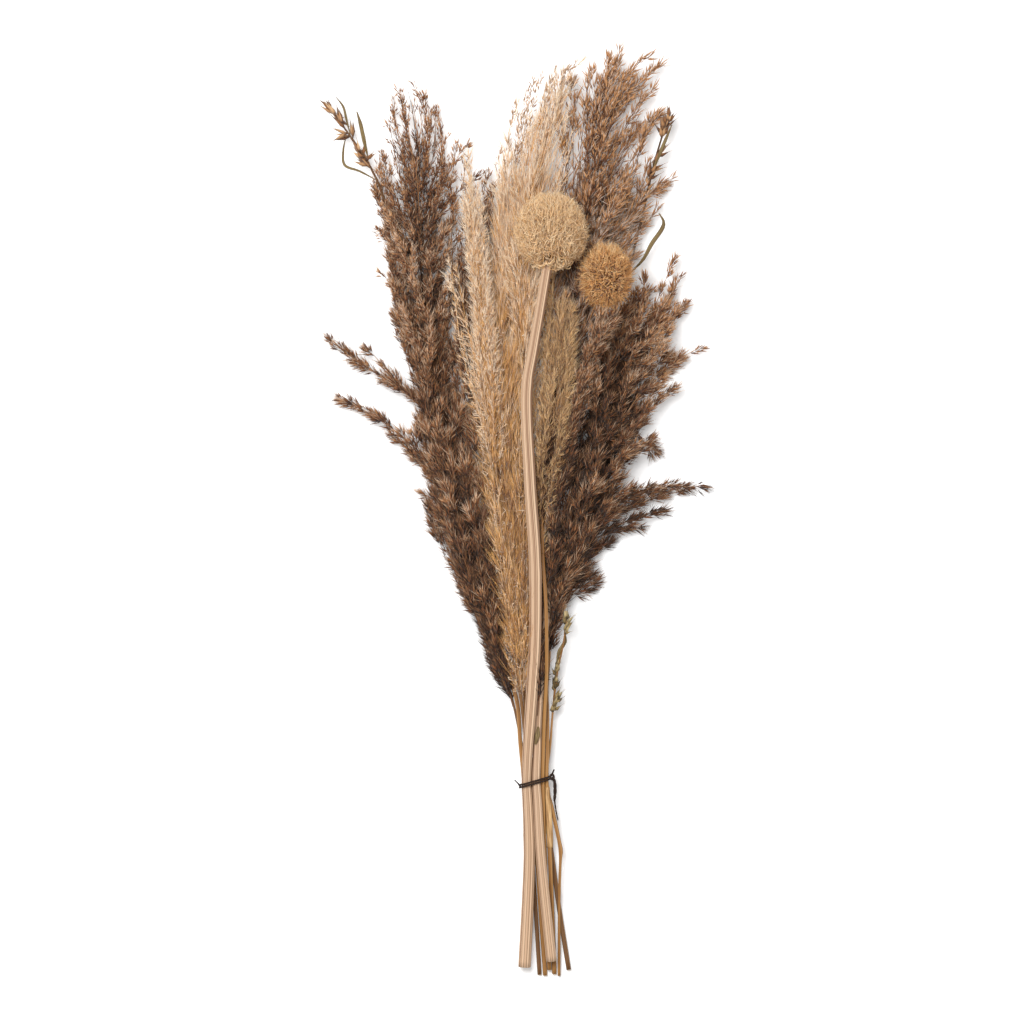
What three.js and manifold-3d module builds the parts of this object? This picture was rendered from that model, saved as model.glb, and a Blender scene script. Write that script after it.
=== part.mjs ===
// A tied bundle of dried plume grasses, lying flat: its cut ends towards -Y, its tips towards +Y,
// and +Z up from the surface that it lies on. Lengths are in millimetres.
import * as THREE from "three";
import { mergeVertices } from "three/addons/utils/BufferGeometryUtils.js";
import Module from "manifold-3d";

const wasm = await Module();
wasm.setup();

// Driving dimensions
const TIE_Y = -217.5; // where the tie goes round the stems
const TIE_WIDTH = 1.35; // one strand of the tie, along the stems
const TIE_THICKNESS = 1.5;
const TIE_GROOVE = 0.5; // how thick the tie is between its two strands, as a share
const TIE_SLANT = 0.28; // the tie climbs towards its knot by this share of the way across
const GAP = 0.4; // clear space between two pieces that lie against each other
const CORE_SHARE = 0.46; // of a plume's size, the dense middle that its tufts stand out of
const HEAD_CORE_SHARE = 0.74; // the same for a seed head
const FLOOR_REST = 0.9; // how far a resting plume is pressed flat
const PRESSED_FROM = 8; // a plume that would reach further below the surface is pressed flat

const COLOURS = {
  reed: 0x7d6350,
  pampas: 0xdcbd8c,
  golden: 0xc9a468,
  headLarge: 0xdcb67c,
  headSmall: 0xcf9f62,
  ridgedStem: 0xd9b894,
  straw: 0xb78a4c,
  oat: 0x9a7a48,
  tie: 0x3f2b1d,
};

// A seeded draw, so that the bundle is the same each time
function seeded(seed) {
  let state = seed;
  return () => {
    state = (state + 0x6d2b79f5) | 0;
    let mixed = Math.imul(state ^ (state >>> 15), 1 | state);
    mixed = (mixed + Math.imul(mixed ^ (mixed >>> 7), 61 | mixed)) ^ mixed;
    return ((mixed ^ (mixed >>> 14)) >>> 0) / 4294967296;
  };
}

// Closed geometry and solids

function solid(geometry) {
  const bare = geometry.clone();
  bare.deleteAttribute("normal");
  bare.deleteAttribute("uv");
  const merged = mergeVertices(bare, 1e-5);
  const mesh = new wasm.Mesh({
    numProp: 3,
    vertProperties: new Float32Array(merged.attributes.position.array),
    triVerts: new Uint32Array(merged.index.array),
  });
  return new wasm.Manifold(mesh);
}

function joined(solids) {
  return wasm.Manifold.union(solids);
}

// The largest connected piece, without slivers, loose scraps or sealed hollows
const SIMPLE_ENOUGH = 0.08;
function oneBody(body) {
  const pieces = body.simplify(SIMPLE_ENOUGH).decompose();
  return pieces.reduce((best, piece) => (piece.volume() > best.volume() ? piece : best));
}

function vector(point) {
  return new THREE.Vector3(point[0], point[1], point[2]);
}

function curveThrough(route) {
  return new THREE.CatmullRomCurve3(route.map(vector), false, "centripetal");
}

// A value between the ones that the route's points carry
function along(values, t) {
  const place = Math.min(Math.max(t, 0), 1) * (values.length - 1);
  const before = Math.min(Math.floor(place), values.length - 2);
  return THREE.MathUtils.lerp(values[before], values[before + 1], place - before);
}

// The directions across and up from a curve at t: across lies level
function frameAt(curve, t) {
  const forward = curve.getTangent(t);
  const across = new THREE.Vector3(forward.y, -forward.x, 0).normalize();
  const up = new THREE.Vector3().crossVectors(across, forward);
  return { centre: curve.getPoint(t), forward, across, up };
}

// A closed tube along a route of [x, y, z, half width, half height] points. Ridges is the share
// by which every second point of its section stands in. Its steps follow the route's own points,
// or lie evenly along it.
function swept(route, sides, steps, { ridges = 0, even = false } = {}) {
  const curve = curveThrough(route);
  const widths = route.map((point) => point[3]);
  const heights = route.map((point) => point[4] ?? point[3]);
  const tube = new THREE.CylinderGeometry(1, 1, 1, sides, steps);
  const places = tube.attributes.position;
  const point = new THREE.Vector3();
  for (let i = 0; i < places.count; i += 1) {
    point.fromBufferAttribute(places, i);
    const t = even ? curve.getUtoTmapping(point.y + 0.5) : point.y + 0.5;
    const turn = Math.round((Math.atan2(point.x, point.z) / (2 * Math.PI)) * sides);
    const inward = turn % 2 === 0 ? 1 : 1 - ridges;
    const { centre, across, up } = frameAt(curve, t);
    centre.addScaledVector(across, point.x * along(widths, t) * inward);
    centre.addScaledVector(up, point.z * along(heights, t) * inward);
    places.setXYZ(i, centre.x, centre.y, centre.z);
  }
  return tube;
}

// A three-sided tuft from root to tip, widest at the given share of its length. Its ridge faces
// outward and its flat side faces back.
function tuftShape(root, tip, outward, { width, depth, belly }) {
  const shape = new THREE.SphereGeometry(1, 3, 2);
  const places = shape.attributes.position;
  const length = root.distanceTo(tip);
  const point = new THREE.Vector3();
  for (let i = 0; i < places.count; i += 1) {
    point.fromBufferAttribute(places, i);
    const height = point.y > 0 ? belly + point.y * (1 - belly) : belly * (1 + point.y);
    places.setXYZ(i, (point.x * depth) / 1.5, height * length, (point.z * width) / Math.sqrt(3));
  }
  const forward = new THREE.Vector3().subVectors(tip, root).normalize();
  const across = new THREE.Vector3().crossVectors(forward, outward).normalize();
  const inward = new THREE.Vector3().crossVectors(forward, across);
  shape.applyMatrix4(new THREE.Matrix4().makeBasis(inward, forward, across));
  shape.translate(root.x, root.y, root.z);
  return shape;
}

// A thin arched leaf: a flat tube along its route, wide in the middle and narrow at both ends
const LEAF_THICKNESS = 0.8;
const LEAF_SIDES = 4;
const BLUNT_END = 0.35; // how far from a point each end stops, in steps of the route
function leaf(route, width) {
  const last = route.length - 1;
  const shaped = route.map((point, i) => {
    const fullness = Math.sin((Math.PI * (i + BLUNT_END)) / (last + 2 * BLUNT_END));
    const halfWidth = Math.max((width / 2) * fullness, LEAF_THICKNESS / 2);
    return [...point, halfWidth, LEAF_THICKNESS / 2];
  });
  return solid(swept(shaped, LEAF_SIDES, last + 2));
}

// Where each stem crosses the tie: x, z and radius
const SEATS = {
  headLarge: [12.1, 19.6, 4.0],
  headSmall: [20.0, 20.2, 3.5],
  reedLeft: [9.9, 13.6, 1.7],
  pampasLeft: [13.8, 13.6, 1.4],
  pampasCentre: [17.3, 14.8, 1.5],
  pampasTop: [20.9, 14.6, 1.4],
  reedUpper: [24.7, 15.0, 1.8],
  pampasRight: [25.4, 19.2, 1.6],
  reedLower: [28.5, 17.2, 1.6],
  oatLow: [28.3, 14.1, 1.0],
  oatLeft: [16.6, 11.6, 1.0],
  oatRight: [19.6, 11.4, 1.0],
};

function atTie(name) {
  const [x, z, radius] = SEATS[name];
  return [x, TIE_Y, z, radius];
}

// Stems, from the cut end to where the plume or head sits: x, y, z and radius
const STEMS = {
  headLarge: [
    [10.5, -367.6, 9.2, 5.1],
    [13.4, -310, 13, 4.9],
    [14.5, -272.4, 16.6, 4.7],
    [12.9, -232, 18.9, 4.2],
    atTie("headLarge"),
    [13.2, -190, 24.4, 4.2],
    [14.9, -167.5, 27.6, 4.6],
    [17.4, -135, 31.5, 4.9],
    [21.4, -103, 35.5, 5.1],
    [18.2, -38, 43.5, 5.1],
    [14.9, 26, 53, 4.9],
    [12.5, 100.5, 65, 4.5],
    [17.4, 131, 70, 4.3],
    [23, 163.4, 75.5, 4.1],
    [28.6, 197.3, 80, 4.0],
    [30, 206, 79.5, 3.9],
  ],
  headSmall: [
    [32.3, -362.7, 11.5, 4.3],
    [26.8, -310, 17.2, 4.1],
    [23.2, -272.4, 20.4, 3.9],
    [20.9, -232, 20.6, 3.6],
    atTie("headSmall"),
    [20.8, -190, 19.9, 3.5],
    [21.3, -165, 20.8, 3.5],
    [23.3, -135, 23.2, 3.5],
    [27, -103, 22.8, 3.5],
    [31, -38, 27.5, 3.5],
    [37, 15, 30, 3.4],
    [47, 74.6, 35, 3.3],
    [57.5, 112, 45, 3.2],
    [69, 147, 56, 3.1],
    [75.6, 165, 61.5, 3.1],
    [76.2, 176, 63.5, 3.0],
  ],
  reedLeft: [
    [12.4, -338, 3.4, 1.8],
    [11.4, -272, 8.6, 1.7],
    atTie("reedLeft"),
    [7.2, -187, 14.6, 1.7],
    [3.6, -149, 16, 1.7],
    [-8, -121, 16, 1.5],
  ],
  pampasLeft: [
    [22.7, -374, 2.2, 1.8],
    [17.4, -285, 8.4, 1.6],
    atTie("pampasLeft"),
    [11.6, -187, 17.8, 1.4],
    [7.5, -149, 23, 1.4],
    [1.2, -100, 28.5, 1.4],
    [-9, -40, 31.5, 1.3],
    [-12, 20, 34, 1.2],
    [-12.6, 50, 36, 1.1],
  ],
  pampasCentre: [
    [27.3, -374.6, 2.2, 1.9],
    [21, -285, 9.6, 1.7],
    atTie("pampasCentre"),
    [14.4, -187, 15.4, 1.5],
    [10.5, -149, 16.5, 1.5],
    [7.5, -115, 17, 1.4],
  ],
  pampasTop: [
    [24, -262, 12.4, 1.4],
    atTie("pampasTop"),
    [20.3, -187, 14.4, 1.4],
    [19.4, -149, 15.2, 1.4],
    [18.3, -100, 17, 1.4],
    [18.4, -40, 21, 1.4],
    [16.6, 26, 28, 1.3],
    [15.6, 91, 35, 1.3],
    [9.5, 147, 40, 1.2],
    [10.5, 172, 41, 1.1],
  ],
  reedUpper: [
    [46.4, -370, 2.6, 2.0],
    [38.5, -320, 4.2, 2.0],
    [32.6, -276, 7.8, 1.9],
    [28.2, -248, 10.4, 1.9],
    atTie("reedUpper"),
    [25, -187, 13.6, 1.8],
    [26, -149, 11.3, 1.8],
    [26.8, -110, 8.6, 1.8],
    [32, -38, 6, 1.8],
    [38, 26, 8, 1.7],
    [43.2, 74.6, 13.5, 1.6],
    [47, 104, 15.5, 1.5],
  ],
  pampasRight: [
    [30.7, -370, 4.4, 1.8],
    [27.3, -285, 13.4, 1.7],
    atTie("pampasRight"),
    [25.9, -187, 20.3, 1.5],
    [26.3, -165, 21.6, 1.5],
    [28.8, -133, 26.6, 1.5],
    [27.2, -103, 29.8, 1.5],
    [25, -38, 33.5, 1.4],
    [24, 6, 37, 1.2],
  ],
  reedLower: [
    [34.7, -373.3, 2.3, 2.0],
    [31.4, -285, 12.3, 1.9],
    [30.9, -270, 13.6, 1.9],
    [31.1, -264, 14.0, 2.2],
    [29.8, -235, 16.1, 1.9],
    atTie("reedLower"),
    [29, -187, 17.4, 1.6],
    [29, -165, 17.4, 1.6],
    [28.4, -145, 17.8, 1.6],
    [30.5, -112, 17.6, 1.5],
  ],
};

const STEM_SIDES = 6;
const STEM_STEPS = 12;
const RIDGED_SIDES = 12;
const RIDGED_STEPS = 17;
const RIDGE_DEPTH = 0.1;

const SOCKET_GAP = 0.55;

function stemTube(name, growth = 0) {
  const route = STEMS[name].map(([x, y, z, radius]) => [x, y, z, radius + growth]);
  const [end, before] = [route.at(-1), route.at(-2)];
  const step = vector(end).sub(vector(before)).setLength(growth);
  route.splice(-1, 1, [end[0] + step.x, end[1] + step.y, end[2] + step.z, end[3]]);
  const ridged = name.startsWith("head");
  const sides = ridged ? RIDGED_SIDES : STEM_SIDES;
  const steps = ridged ? RIDGED_STEPS : STEM_STEPS;
  const ridges = ridged && growth === 0 ? RIDGE_DEPTH : 0;
  return solid(swept(route, sides, steps, { ridges }));
}

// Plumes. Each axis point is x, y, z, half width and half height of the whole plume there.
// A spray is a side branch or a loose tip: its points run out from the core.
const PLUMES = {
  reedLeft: {
    stem: "reedLeft",
    colour: "reed",
    seed: 11,
    axis: [
      [0.8, -141, 16, 7, 7],
      [-13, -110, 15, 17, 16],
      [-29.5, -71, 15, 27, 25],
      [-44, 10, 14, 28, 28],
      [-57.7, 91, 14, 29, 30],
      [-69.8, 171.5, 15, 33, 32],
      [-74, 252, 16, 39, 30],
      [-73, 293, 17, 37, 24],
      [-79.5, 333, 18, 12, 12],
      [-86, 345, 18, 3, 3],
    ],
    tufts: { sides: 16, spacing: 9.5, reach: 30 },
    sprays: [
      [[-66, 78, 15], [-84.3, 94.8, 15], [-102, 108.5, 13], [-116.6, 116.6, 11], [-147.3, 139.2, 8]],
      [[-84.3, 94.8, 15], [-107.7, 124, 17], [-117, 131, 17]],
      [[-60, 34, 15], [-78.7, 52.9, 15], [-102, 72.2, 13], [-119.8, 82.7, 10], [-138.4, 92.4, 8]],
      [[-64, 140, 14], [-41, 185, 9], [-23, 235, 8], [-14, 278, 9]],
      [[-76, 255, 18], [-85, 310, 20], [-90, 344, 20]],
      [[-72, 260, 18], [-64, 315, 24], [-65, 342, 26]],
      [[-68, 240, 20], [-50, 280, 24], [-36, 303, 24]],
      [[-80, 230, 18], [-100, 270, 14], [-110, 292, 12]],
    ],
  },
  reedUpper: {
    stem: "reedUpper",
    colour: "reed",
    seed: 23,
    axis: [
      [43.6, 78, 14, 7, 7],
      [48.8, 131, 15, 22, 22],
      [59.3, 187.6, 16, 32, 28],
      [70.4, 252.2, 17, 42, 30],
      [81, 310, 18, 36, 24],
      [88, 352, 19, 14, 12],
      [89.2, 372, 19, 3, 3],
    ],
    tufts: { sides: 16, spacing: 9.5, reach: 30 },
    sprays: [
      [[84, 320, 18], [88, 350, 19], [89.2, 375.6, 19]],
      [[84, 300, 20], [80, 335, 24], [80.3, 362, 26]],
      [[84, 290, 18], [105, 335, 18], [122.3, 360.3, 16]],
      [[82, 270, 18], [104, 312, 14], [118.2, 338.5, 12]],
      [[78, 235, 18], [108, 255, 14], [129.5, 268.3, 12]],
      [[76, 250, 22], [58, 315, 26], [49, 350, 26]],
    ],
  },
  reedLower: {
    stem: "reedLower",
    colour: "reed",
    seed: 37,
    axis: [
      [28.6, -127, 18, 5, 5],
      [35, -103, 18, 9, 9],
      [46.4, -70.6, 16, 18, 17],
      [52, -30.3, 15, 24, 24],
      [63.3, 10, 15, 32, 29],
      [75.5, 50.4, 15, 38, 31],
      [84, 90.8, 15, 38, 30],
      [98, 131, 16, 36, 27],
      [115.8, 171.5, 17, 23, 19],
      [132, 203, 17, 4, 4],
    ],
    tufts: { sides: 16, spacing: 9.5, reach: 28 },
    sprays: [
      [[70, -10, 14], [90.8, 12.5, 14], [113.4, 19, 12], [153.7, 21.4, 9]],
      [[70, -14, 14], [92, -8, 15], [121.5, -0.4, 13]],
      [[60, -40, 12], [79.5, -22, 11], [92, -15, 9]],
      [[54, -72, 12], [66, -64, 10], [76.3, -56, 8]],
      [[94, 70, 13], [110, 60, 11], [120.6, 50.4, 9]],
      [[104, 110, 14], [124, 122, 13], [134.4, 129.5, 12]],
      [[112, 110, 14], [138, 124, 11], [152.9, 133, 9]],
      [[112, 140, 14], [134, 158, 12], [144, 169, 11]],
      [[104, 130, 22], [106, 165, 26], [109.3, 186, 27]],
    ],
  },
  pampasCentre: {
    stem: "pampasCentre",
    colour: "pampas",
    seed: 41,
    axis: [
      [9, -139, 17, 4, 5],
      [5.2, -70.6, 17, 10, 11],
      [-1.5, 10, 17, 14, 14],
      [-8, 90.8, 20, 18, 16],
      [-9.3, 171.5, 27, 21, 15],
      [-5, 252, 32, 17, 13],
      [3, 318, 36, 8, 8],
      [16.5, 349, 38, 1.5, 1.5],
    ],
    tufts: { sides: 12, spacing: 8.5, reach: 27 },
    sprays: [
      [[-4, 262, 32], [1, 300, 35], [3, 329, 37]],
      [[-8, 230, 32], [-12, 262, 34], [-10, 292, 35]],
    ],
  },
  pampasTop: {
    stem: "pampasTop",
    colour: "pampas",
    seed: 53,
    axis: [
      [9.8, 150, 40, 4, 4],
      [13, 195.7, 41, 11, 10],
      [24, 262, 42, 14, 11],
      [34, 312, 42, 9, 8],
      [40.8, 350, 41, 3, 3],
      [47, 360.6, 40, 1.6, 1.6],
      [55.5, 363, 39, 0.9, 0.9],
    ],
    tufts: { sides: 10, spacing: 8.5, reach: 24 },
    sprays: [],
  },
  pampasLeft: {
    stem: "pampasLeft",
    colour: "pampas",
    seed: 61,
    axis: [
      [-12.4, 30, 35, 4, 4],
      [-17.4, 91, 39, 7, 6],
      [-23, 147, 43, 7, 6],
      [-28.6, 212, 44, 6.5, 6],
      [-31.9, 260, 43, 5, 5],
      [-33.5, 294, 42, 1, 1],
    ],
    tufts: { sides: 8, spacing: 8, reach: 19 },
    sprays: [
      [[-14, 42, 37], [-30, 91, 41], [-41.6, 139, 43], [-46.5, 180, 43], [-50, 203, 42]],
    ],
  },
  pampasRight: {
    stem: "pampasRight",
    colour: "golden",
    seed: 71,
    axis: [
      [24.2, -10, 36, 4, 4],
      [27, 26, 41, 8, 8],
      [35, 74.6, 49, 9, 8],
      [41, 127, 54, 8, 7],
      [45, 178, 54, 1.5, 1.5],
    ],
    tufts: { sides: 8, spacing: 8, reach: 19 },
    sprays: [],
  },
};

// The slim middle of a plume or spray. Where it is pressed on the surface, it reaches just below.
function coreRoute(axis, pressed) {
  return axis.map(([x, y, z, width, height]) => {
    const rests = pressed && height > z + PRESSED_FROM;
    return [x, y, z, width * CORE_SHARE, rests ? z + FLOOR_REST : height * CORE_SHARE];
  });
}

function stepsAlong(axis, spacing) {
  return Math.round(curveThrough(axis).getLength() / spacing);
}

function core(plume) {
  const { sides, spacing } = plume.tufts;
  const route = coreRoute(plume.axis, plume.colour === "reed");
  return solid(swept(route, sides, stepsAlong(plume.axis, spacing), { even: true }));
}

// Half of everything below the surface that the bundle lies on
const SLAB_SIZE = 1200;
function belowSurface() {
  const slab = new THREE.BoxGeometry(SLAB_SIZE, SLAB_SIZE, SLAB_SIZE);
  slab.translate(0, 0, -SLAB_SIZE / 2);
  return solid(slab);
}

const LOWEST_TIP = 0.8;

function clearOf(shape, others) {
  return others.every((other) => shape.minGap(other, GAP) >= GAP * 0.999);
}

// How much of the way from root to tip a tuft can grow without coming near another piece
function roomFor(root, tip, outward, width, others) {
  for (const share of [1, 0.8, 0.6, 0.4, 0.2]) {
    const end = new THREE.Vector3().lerpVectors(root, tip, share);
    const trial = solid(tuftShape(root, end, outward, { width, depth: width, belly: 0.05 }));
    if (clearOf(trial, others)) {
      return share;
    }
  }
  return 0;
}

// Cuts the squares of a tube's side across from one low point to the next, so that each tip
// stands free as a four-sided tuft
const CORNERS_LISTED = 6; // for a square, as two triangles
function cutBetweenTips(tube, sides, steps) {
  const corners = tube.index.array;
  const columns = sides + 1;
  for (let i = 0; i < sides * steps * CORNERS_LISTED; i += CORNERS_LISTED) {
    const [first, second, fourth, , third] = corners.slice(i, i + CORNERS_LISTED);
    const place = Math.floor(second / columns) + (second % columns);
    if (place % 2 === 0) {
      corners.set([first, second, third, first, third, fourth], i);
    }
  }
}

const BUNCH_SPACING = 46; // the tufts stand out in loose bunches, this far apart
const BUNCH_DEPTH = 0.3; // how much shorter the tufts between two bunches are, as a share
const STAND_OUT = 0.9; // of the plume's size at its root, how far out a tuft ends at the least
const SHORTEST_TUFT = 0.85; // of the way to the outline
const LONGEST_TUFT = 1.15;
const END_REACH = 0.8; // of what is left of the axis, how far forward a last tuft reaches

// A core whose every second point is drawn out into a tuft, which leans forward to the outline
function tufted(axis, { sides, spacing, reach }, { seed, pressed, others }) {
  const steps = stepsAlong(axis, spacing);
  const tube = swept(coreRoute(axis, pressed), sides, steps, { even: true });
  cutBetweenTips(tube, sides, steps);
  const curve = curveThrough(axis);
  const length = curve.getLength();
  const widths = axis.map((point) => point[3]);
  const heights = axis.map((point) => point[4]);
  const random = seeded(seed);
  const places = tube.attributes.position;
  const columns = sides + 1;
  for (let row = 1; row < steps; row += 1) {
    const u = 1 - row / steps;
    const forward = Math.min(reach / length, END_REACH * (1 - u));
    const from = curve.getUtoTmapping(u);
    const to = curve.getUtoTmapping(u + forward);
    const width = Math.max(along(widths, to), STAND_OUT * along(widths, from));
    const height = Math.max(along(heights, to), STAND_OUT * along(heights, from));
    const { centre, across, up } = frameAt(curve, to);
    for (let column = row % 2; column < sides; column += 2) {
      const turn = (2 * Math.PI * column) / sides;
      const outward = across.clone().multiplyScalar(Math.sin(turn));
      outward.addScaledVector(up, Math.cos(turn));
      const root = new THREE.Vector3().fromBufferAttribute(places, row * columns + column);
      const tip = centre.clone().addScaledVector(across, Math.sin(turn) * width);
      tip.addScaledVector(up, Math.cos(turn) * height);
      tip.z = Math.max(tip.z, LOWEST_TIP);
      const bunch = 0.5 + 0.5 * Math.sin((2 * Math.PI * u * length) / BUNCH_SPACING + 2 * turn);
      const fullness = THREE.MathUtils.lerp(SHORTEST_TUFT, LONGEST_TUFT, random());
      tip.lerpVectors(root, tip, fullness - BUNCH_DEPTH * bunch);
      const pressedFlat = root.z < LOWEST_TIP + GAP;
      const room = pressedFlat ? 0 : roomFor(root, tip, outward, 1.5 * spacing, others);
      tip.lerpVectors(root, tip, room);
      for (const same of column === 0 ? [0, sides] : [column]) {
        places.setXYZ(row * columns + same, tip.x, tip.y, tip.z);
      }
    }
  }
  return solid(tube);
}

const SPRAY_WIDTH = 5.6; // half the width of a side branch with its tufts
const SPRAY_TAPER = 0.75; // how much of it is lost at the tip
const SPRAY_TUFTS = { sides: 4, spacing: 8.5, reach: 13 };

// A side branch: a slim plume of its own, tapered to its tip
function spray(route, seed, others) {
  const last = route.length - 1;
  const axis = route.map((point, i) => {
    const width = SPRAY_WIDTH * (1 - SPRAY_TAPER * (i / last) ** 2);
    return [...point, width, width];
  });
  const branch = tufted(axis, SPRAY_TUFTS, { seed, pressed: false, others });
  return clearOf(branch, others) ? [branch] : [];
}

function plumeBody(plume, others) {
  const pressed = plume.colour === "reed";
  const parts = [tufted(plume.axis, plume.tufts, { seed: plume.seed, pressed, others })];
  plume.sprays.forEach((route, i) => parts.push(...spray(route, plume.seed + i + 1, others)));
  const socket = stemTube(plume.stem, SOCKET_GAP);
  return oneBody(joined(parts).subtract(belowSurface()).subtract(socket));
}

// Round seed heads: a ball whose skin is drawn out into bristles
const HEADS = {
  headLarge: {
    stem: "headLarge",
    centre: [31.9, 224.8, 77],
    half: [27, 30.5, 27],
    detail: 7,
    sway: 2.2,
    seed: 83,
  },
  headSmall: {
    stem: "headSmall",
    centre: [76.3, 190, 64],
    half: [18.5, 24.5, 18.5],
    detail: 5,
    sway: 1.8,
    seed: 97,
  },
};

function ballOf(head) {
  const ball = new THREE.IcosahedronGeometry(1, head.detail);
  ball.scale(...head.half.map((half) => half * HEAD_CORE_SHARE));
  ball.translate(...head.centre);
  ball.deleteAttribute("normal");
  ball.deleteAttribute("uv");
  return mergeVertices(ball, 1e-5);
}

// The points of a ball that bristles grow from, no two of them side by side
function bristlePoints(ball) {
  const corners = ball.index.array;
  const beside = new Map();
  for (let i = 0; i < corners.length; i += 3) {
    const triangle = corners.slice(i, i + 3);
    triangle.forEach((corner) => beside.set(corner, [...(beside.get(corner) ?? []), ...triangle]));
  }
  const chosen = new Set();
  for (const [corner, near] of beside) {
    if (!near.some((other) => chosen.has(other))) {
      chosen.add(corner);
    }
  }
  return chosen;
}

const SHORTEST_BRISTLE = 0.92; // of the head's size
const LONGEST_BRISTLE = 1.08;
function headBody(head, others) {
  const random = seeded(head.seed);
  const ball = ballOf(head);
  const places = ball.attributes.position;
  const centre = vector(head.centre);
  for (const point of bristlePoints(ball)) {
    const root = new THREE.Vector3().fromBufferAttribute(places, point);
    const outward = root.clone().sub(centre);
    const length = THREE.MathUtils.lerp(SHORTEST_BRISTLE, LONGEST_BRISTLE, random());
    const tip = centre.clone().addScaledVector(outward, length / HEAD_CORE_SHARE);
    const sway = new THREE.Vector3(random() - 0.5, random() - 0.5, random() - 0.5);
    tip.addScaledVector(sway, 2 * head.sway);
    const room = roomFor(root, tip, sway, head.sway, others);
    tip.lerpVectors(root, tip, room);
    places.setXYZ(point, tip.x, tip.y, tip.z);
  }
  const socket = stemTube(head.stem, SOCKET_GAP);
  return oneBody(solid(ball).subtract(socket));
}

// Oat-like sprays, each grown in one piece with its leaves. Husks are root and tip pairs.
const OATS = {
  oatLeft: {
    stem: [
      [16.9, -230, 11.4, 1.0],
      atTie("oatLeft"),
      [8.3, -187, 9.8, 1.0],
      [-1, -149, 9.2, 1.0],
      [-19, -120, 6, 1.0],
      [-46, -71, 4, 1.0],
      [-62, 10, 3.4, 1.0],
      [-77, 91, 3.4, 1.0],
      [-92, 171, 4.4, 1.0],
      [-98, 225, 8, 1.0],
      [-107, 264.3, 14, 1.0],
      [-117.4, 285.2, 17, 0.9],
      [-133.6, 308.7, 19, 0.8],
      [-146, 326, 20, 0.7],
    ],
    leaves: [
      [[-116, 287, 17], [-119, 300, 21], [-122, 314, 23], [-125, 324, 23]],
      [[-108, 268, 14.5], [-123, 276, 15], [-135, 281, 14], [-136, 293, 14], [-134, 303, 15]],
      [[-130, 304, 18.6], [-133.5, 318, 15], [-136, 328, 14], [-142, 336, 13]],
    ],
    leafWidths: [3.4, 2.2, 2],
    husks: [
      { from: [-136, 312, 19.3], to: [-146, 326, 20.5], count: 7, size: 13 },
      { from: [-115, 282, 16.6], to: [-124, 294, 18], count: 5, size: 13 },
    ],
    seed: 103,
  },
  oatRight: {
    stem: [
      [19.8, -240, 11, 1.0],
      atTie("oatRight"),
      [20.8, -187, 9.4, 1.0],
      [23, -123, 5, 1.0],
      [26.5, -38, 3, 1.0],
      [33.5, 26, 3, 1.0],
      [41, 74.6, 3, 1.0],
      [57, 112, 3, 1.0],
      [76, 150, 4, 1.0],
      [92, 187, 10, 1.0],
      [100, 217, 13, 1.0],
      [107, 245, 15, 0.9],
      [114.5, 279, 19, 0.9],
      [122, 305, 21, 0.8],
      [128, 324, 22, 0.7],
    ],
    leaves: [
      [[98, 206, 12.6], [107, 206, 15], [114, 218, 17], [123.5, 233, 18], [119, 242, 19]],
      [[114, 276, 19], [118, 286, 23], [124, 300, 25], [129.5, 313, 25]],
    ],
    leafWidths: [3.6, 3],
    husks: [
      { from: [112, 270, 18], to: [118, 290, 21], count: 5, size: 12 },
      { from: [122, 305, 21], to: [127, 318, 22.5], count: 5, size: 11 },
      { from: [108, 248, 16], to: [110, 262, 18], count: 3, size: 10 },
    ],
    seed: 107,
  },
  oatLow: {
    stem: [
      [38.5, -375, 3, 1.0],
      [38.6, -317, 8, 1.0],
      [39.6, -280, 11, 1.5],
      [39.9, -274, 11.4, 1.6],
      [38.6, -266, 11.6, 1.0],
      [33, -240, 13, 1.0],
      atTie("oatLow"),
      [31.4, -187, 13.4, 1.0],
      [33, -165, 13.4, 0.9],
      [34.8, -146, 13.6, 0.9],
      [38, -124, 17, 0.8],
      [41.5, -108, 22.5, 0.7],
      [44.5, -88, 27, 0.6],
    ],
    leaves: [
      [[34.8, -144, 13.8], [41, -128, 15], [45.5, -116, 16], [44.5, -103, 18]],
    ],
    leafWidths: [3.6],
    husks: [
      { from: [40.5, -111, 21.5], to: [44.5, -88, 27], count: 4, size: 9 },
      { from: [35.6, -138, 14.4], to: [38, -124, 17], count: 4, size: 9 },
      { from: [33.4, -160, 13.5], to: [36, -146, 13.7], count: 3, size: 8 },
    ],
    seed: 109,
  },
};

const HUSK = { width: 4, depth: 2.8, belly: 0.45 };
const HUSK_REACH = 0.85; // of its size along the stem
const HUSK_SPREAD = 1.1; // of its size to the side, at random
const HUSK_SUNK = 1.2; // its root, back into the stem
const OAT_SIDES = 4;
const OAT_STEPS = 16;

function oatBody(oat, others) {
  const random = seeded(oat.seed);
  const parts = [solid(swept(oat.stem, OAT_SIDES, OAT_STEPS))];
  oat.leaves.forEach((route, i) => parts.push(leaf(route, oat.leafWidths[i])));
  for (const { from, to, count, size } of oat.husks) {
    const start = vector(from);
    const end = vector(to);
    const forward = new THREE.Vector3().subVectors(end, start).normalize();
    for (let i = 0; i < count; i += 1) {
      const root = new THREE.Vector3().lerpVectors(start, end, i / (count - 1));
      const side = new THREE.Vector3(random() - 0.5, random() - 0.5, random() - 0.5);
      const tip = root.clone().addScaledVector(forward, size * HUSK_REACH);
      tip.addScaledVector(side, size * HUSK_SPREAD);
      root.addScaledVector(forward, -HUSK_SUNK);
      const husk = solid(tuftShape(root, tip, side, HUSK));
      if (clearOf(husk, others)) {
        parts.push(husk);
      }
    }
  }
  return oneBody(joined(parts));
}

// The tie: two strands round the outline of the stems, a knot at the right and loose ends
const TIE_TURNS = 24;
const TIE_CLEARANCE = 0.95; // between the outline of the stems and the tie

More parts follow.
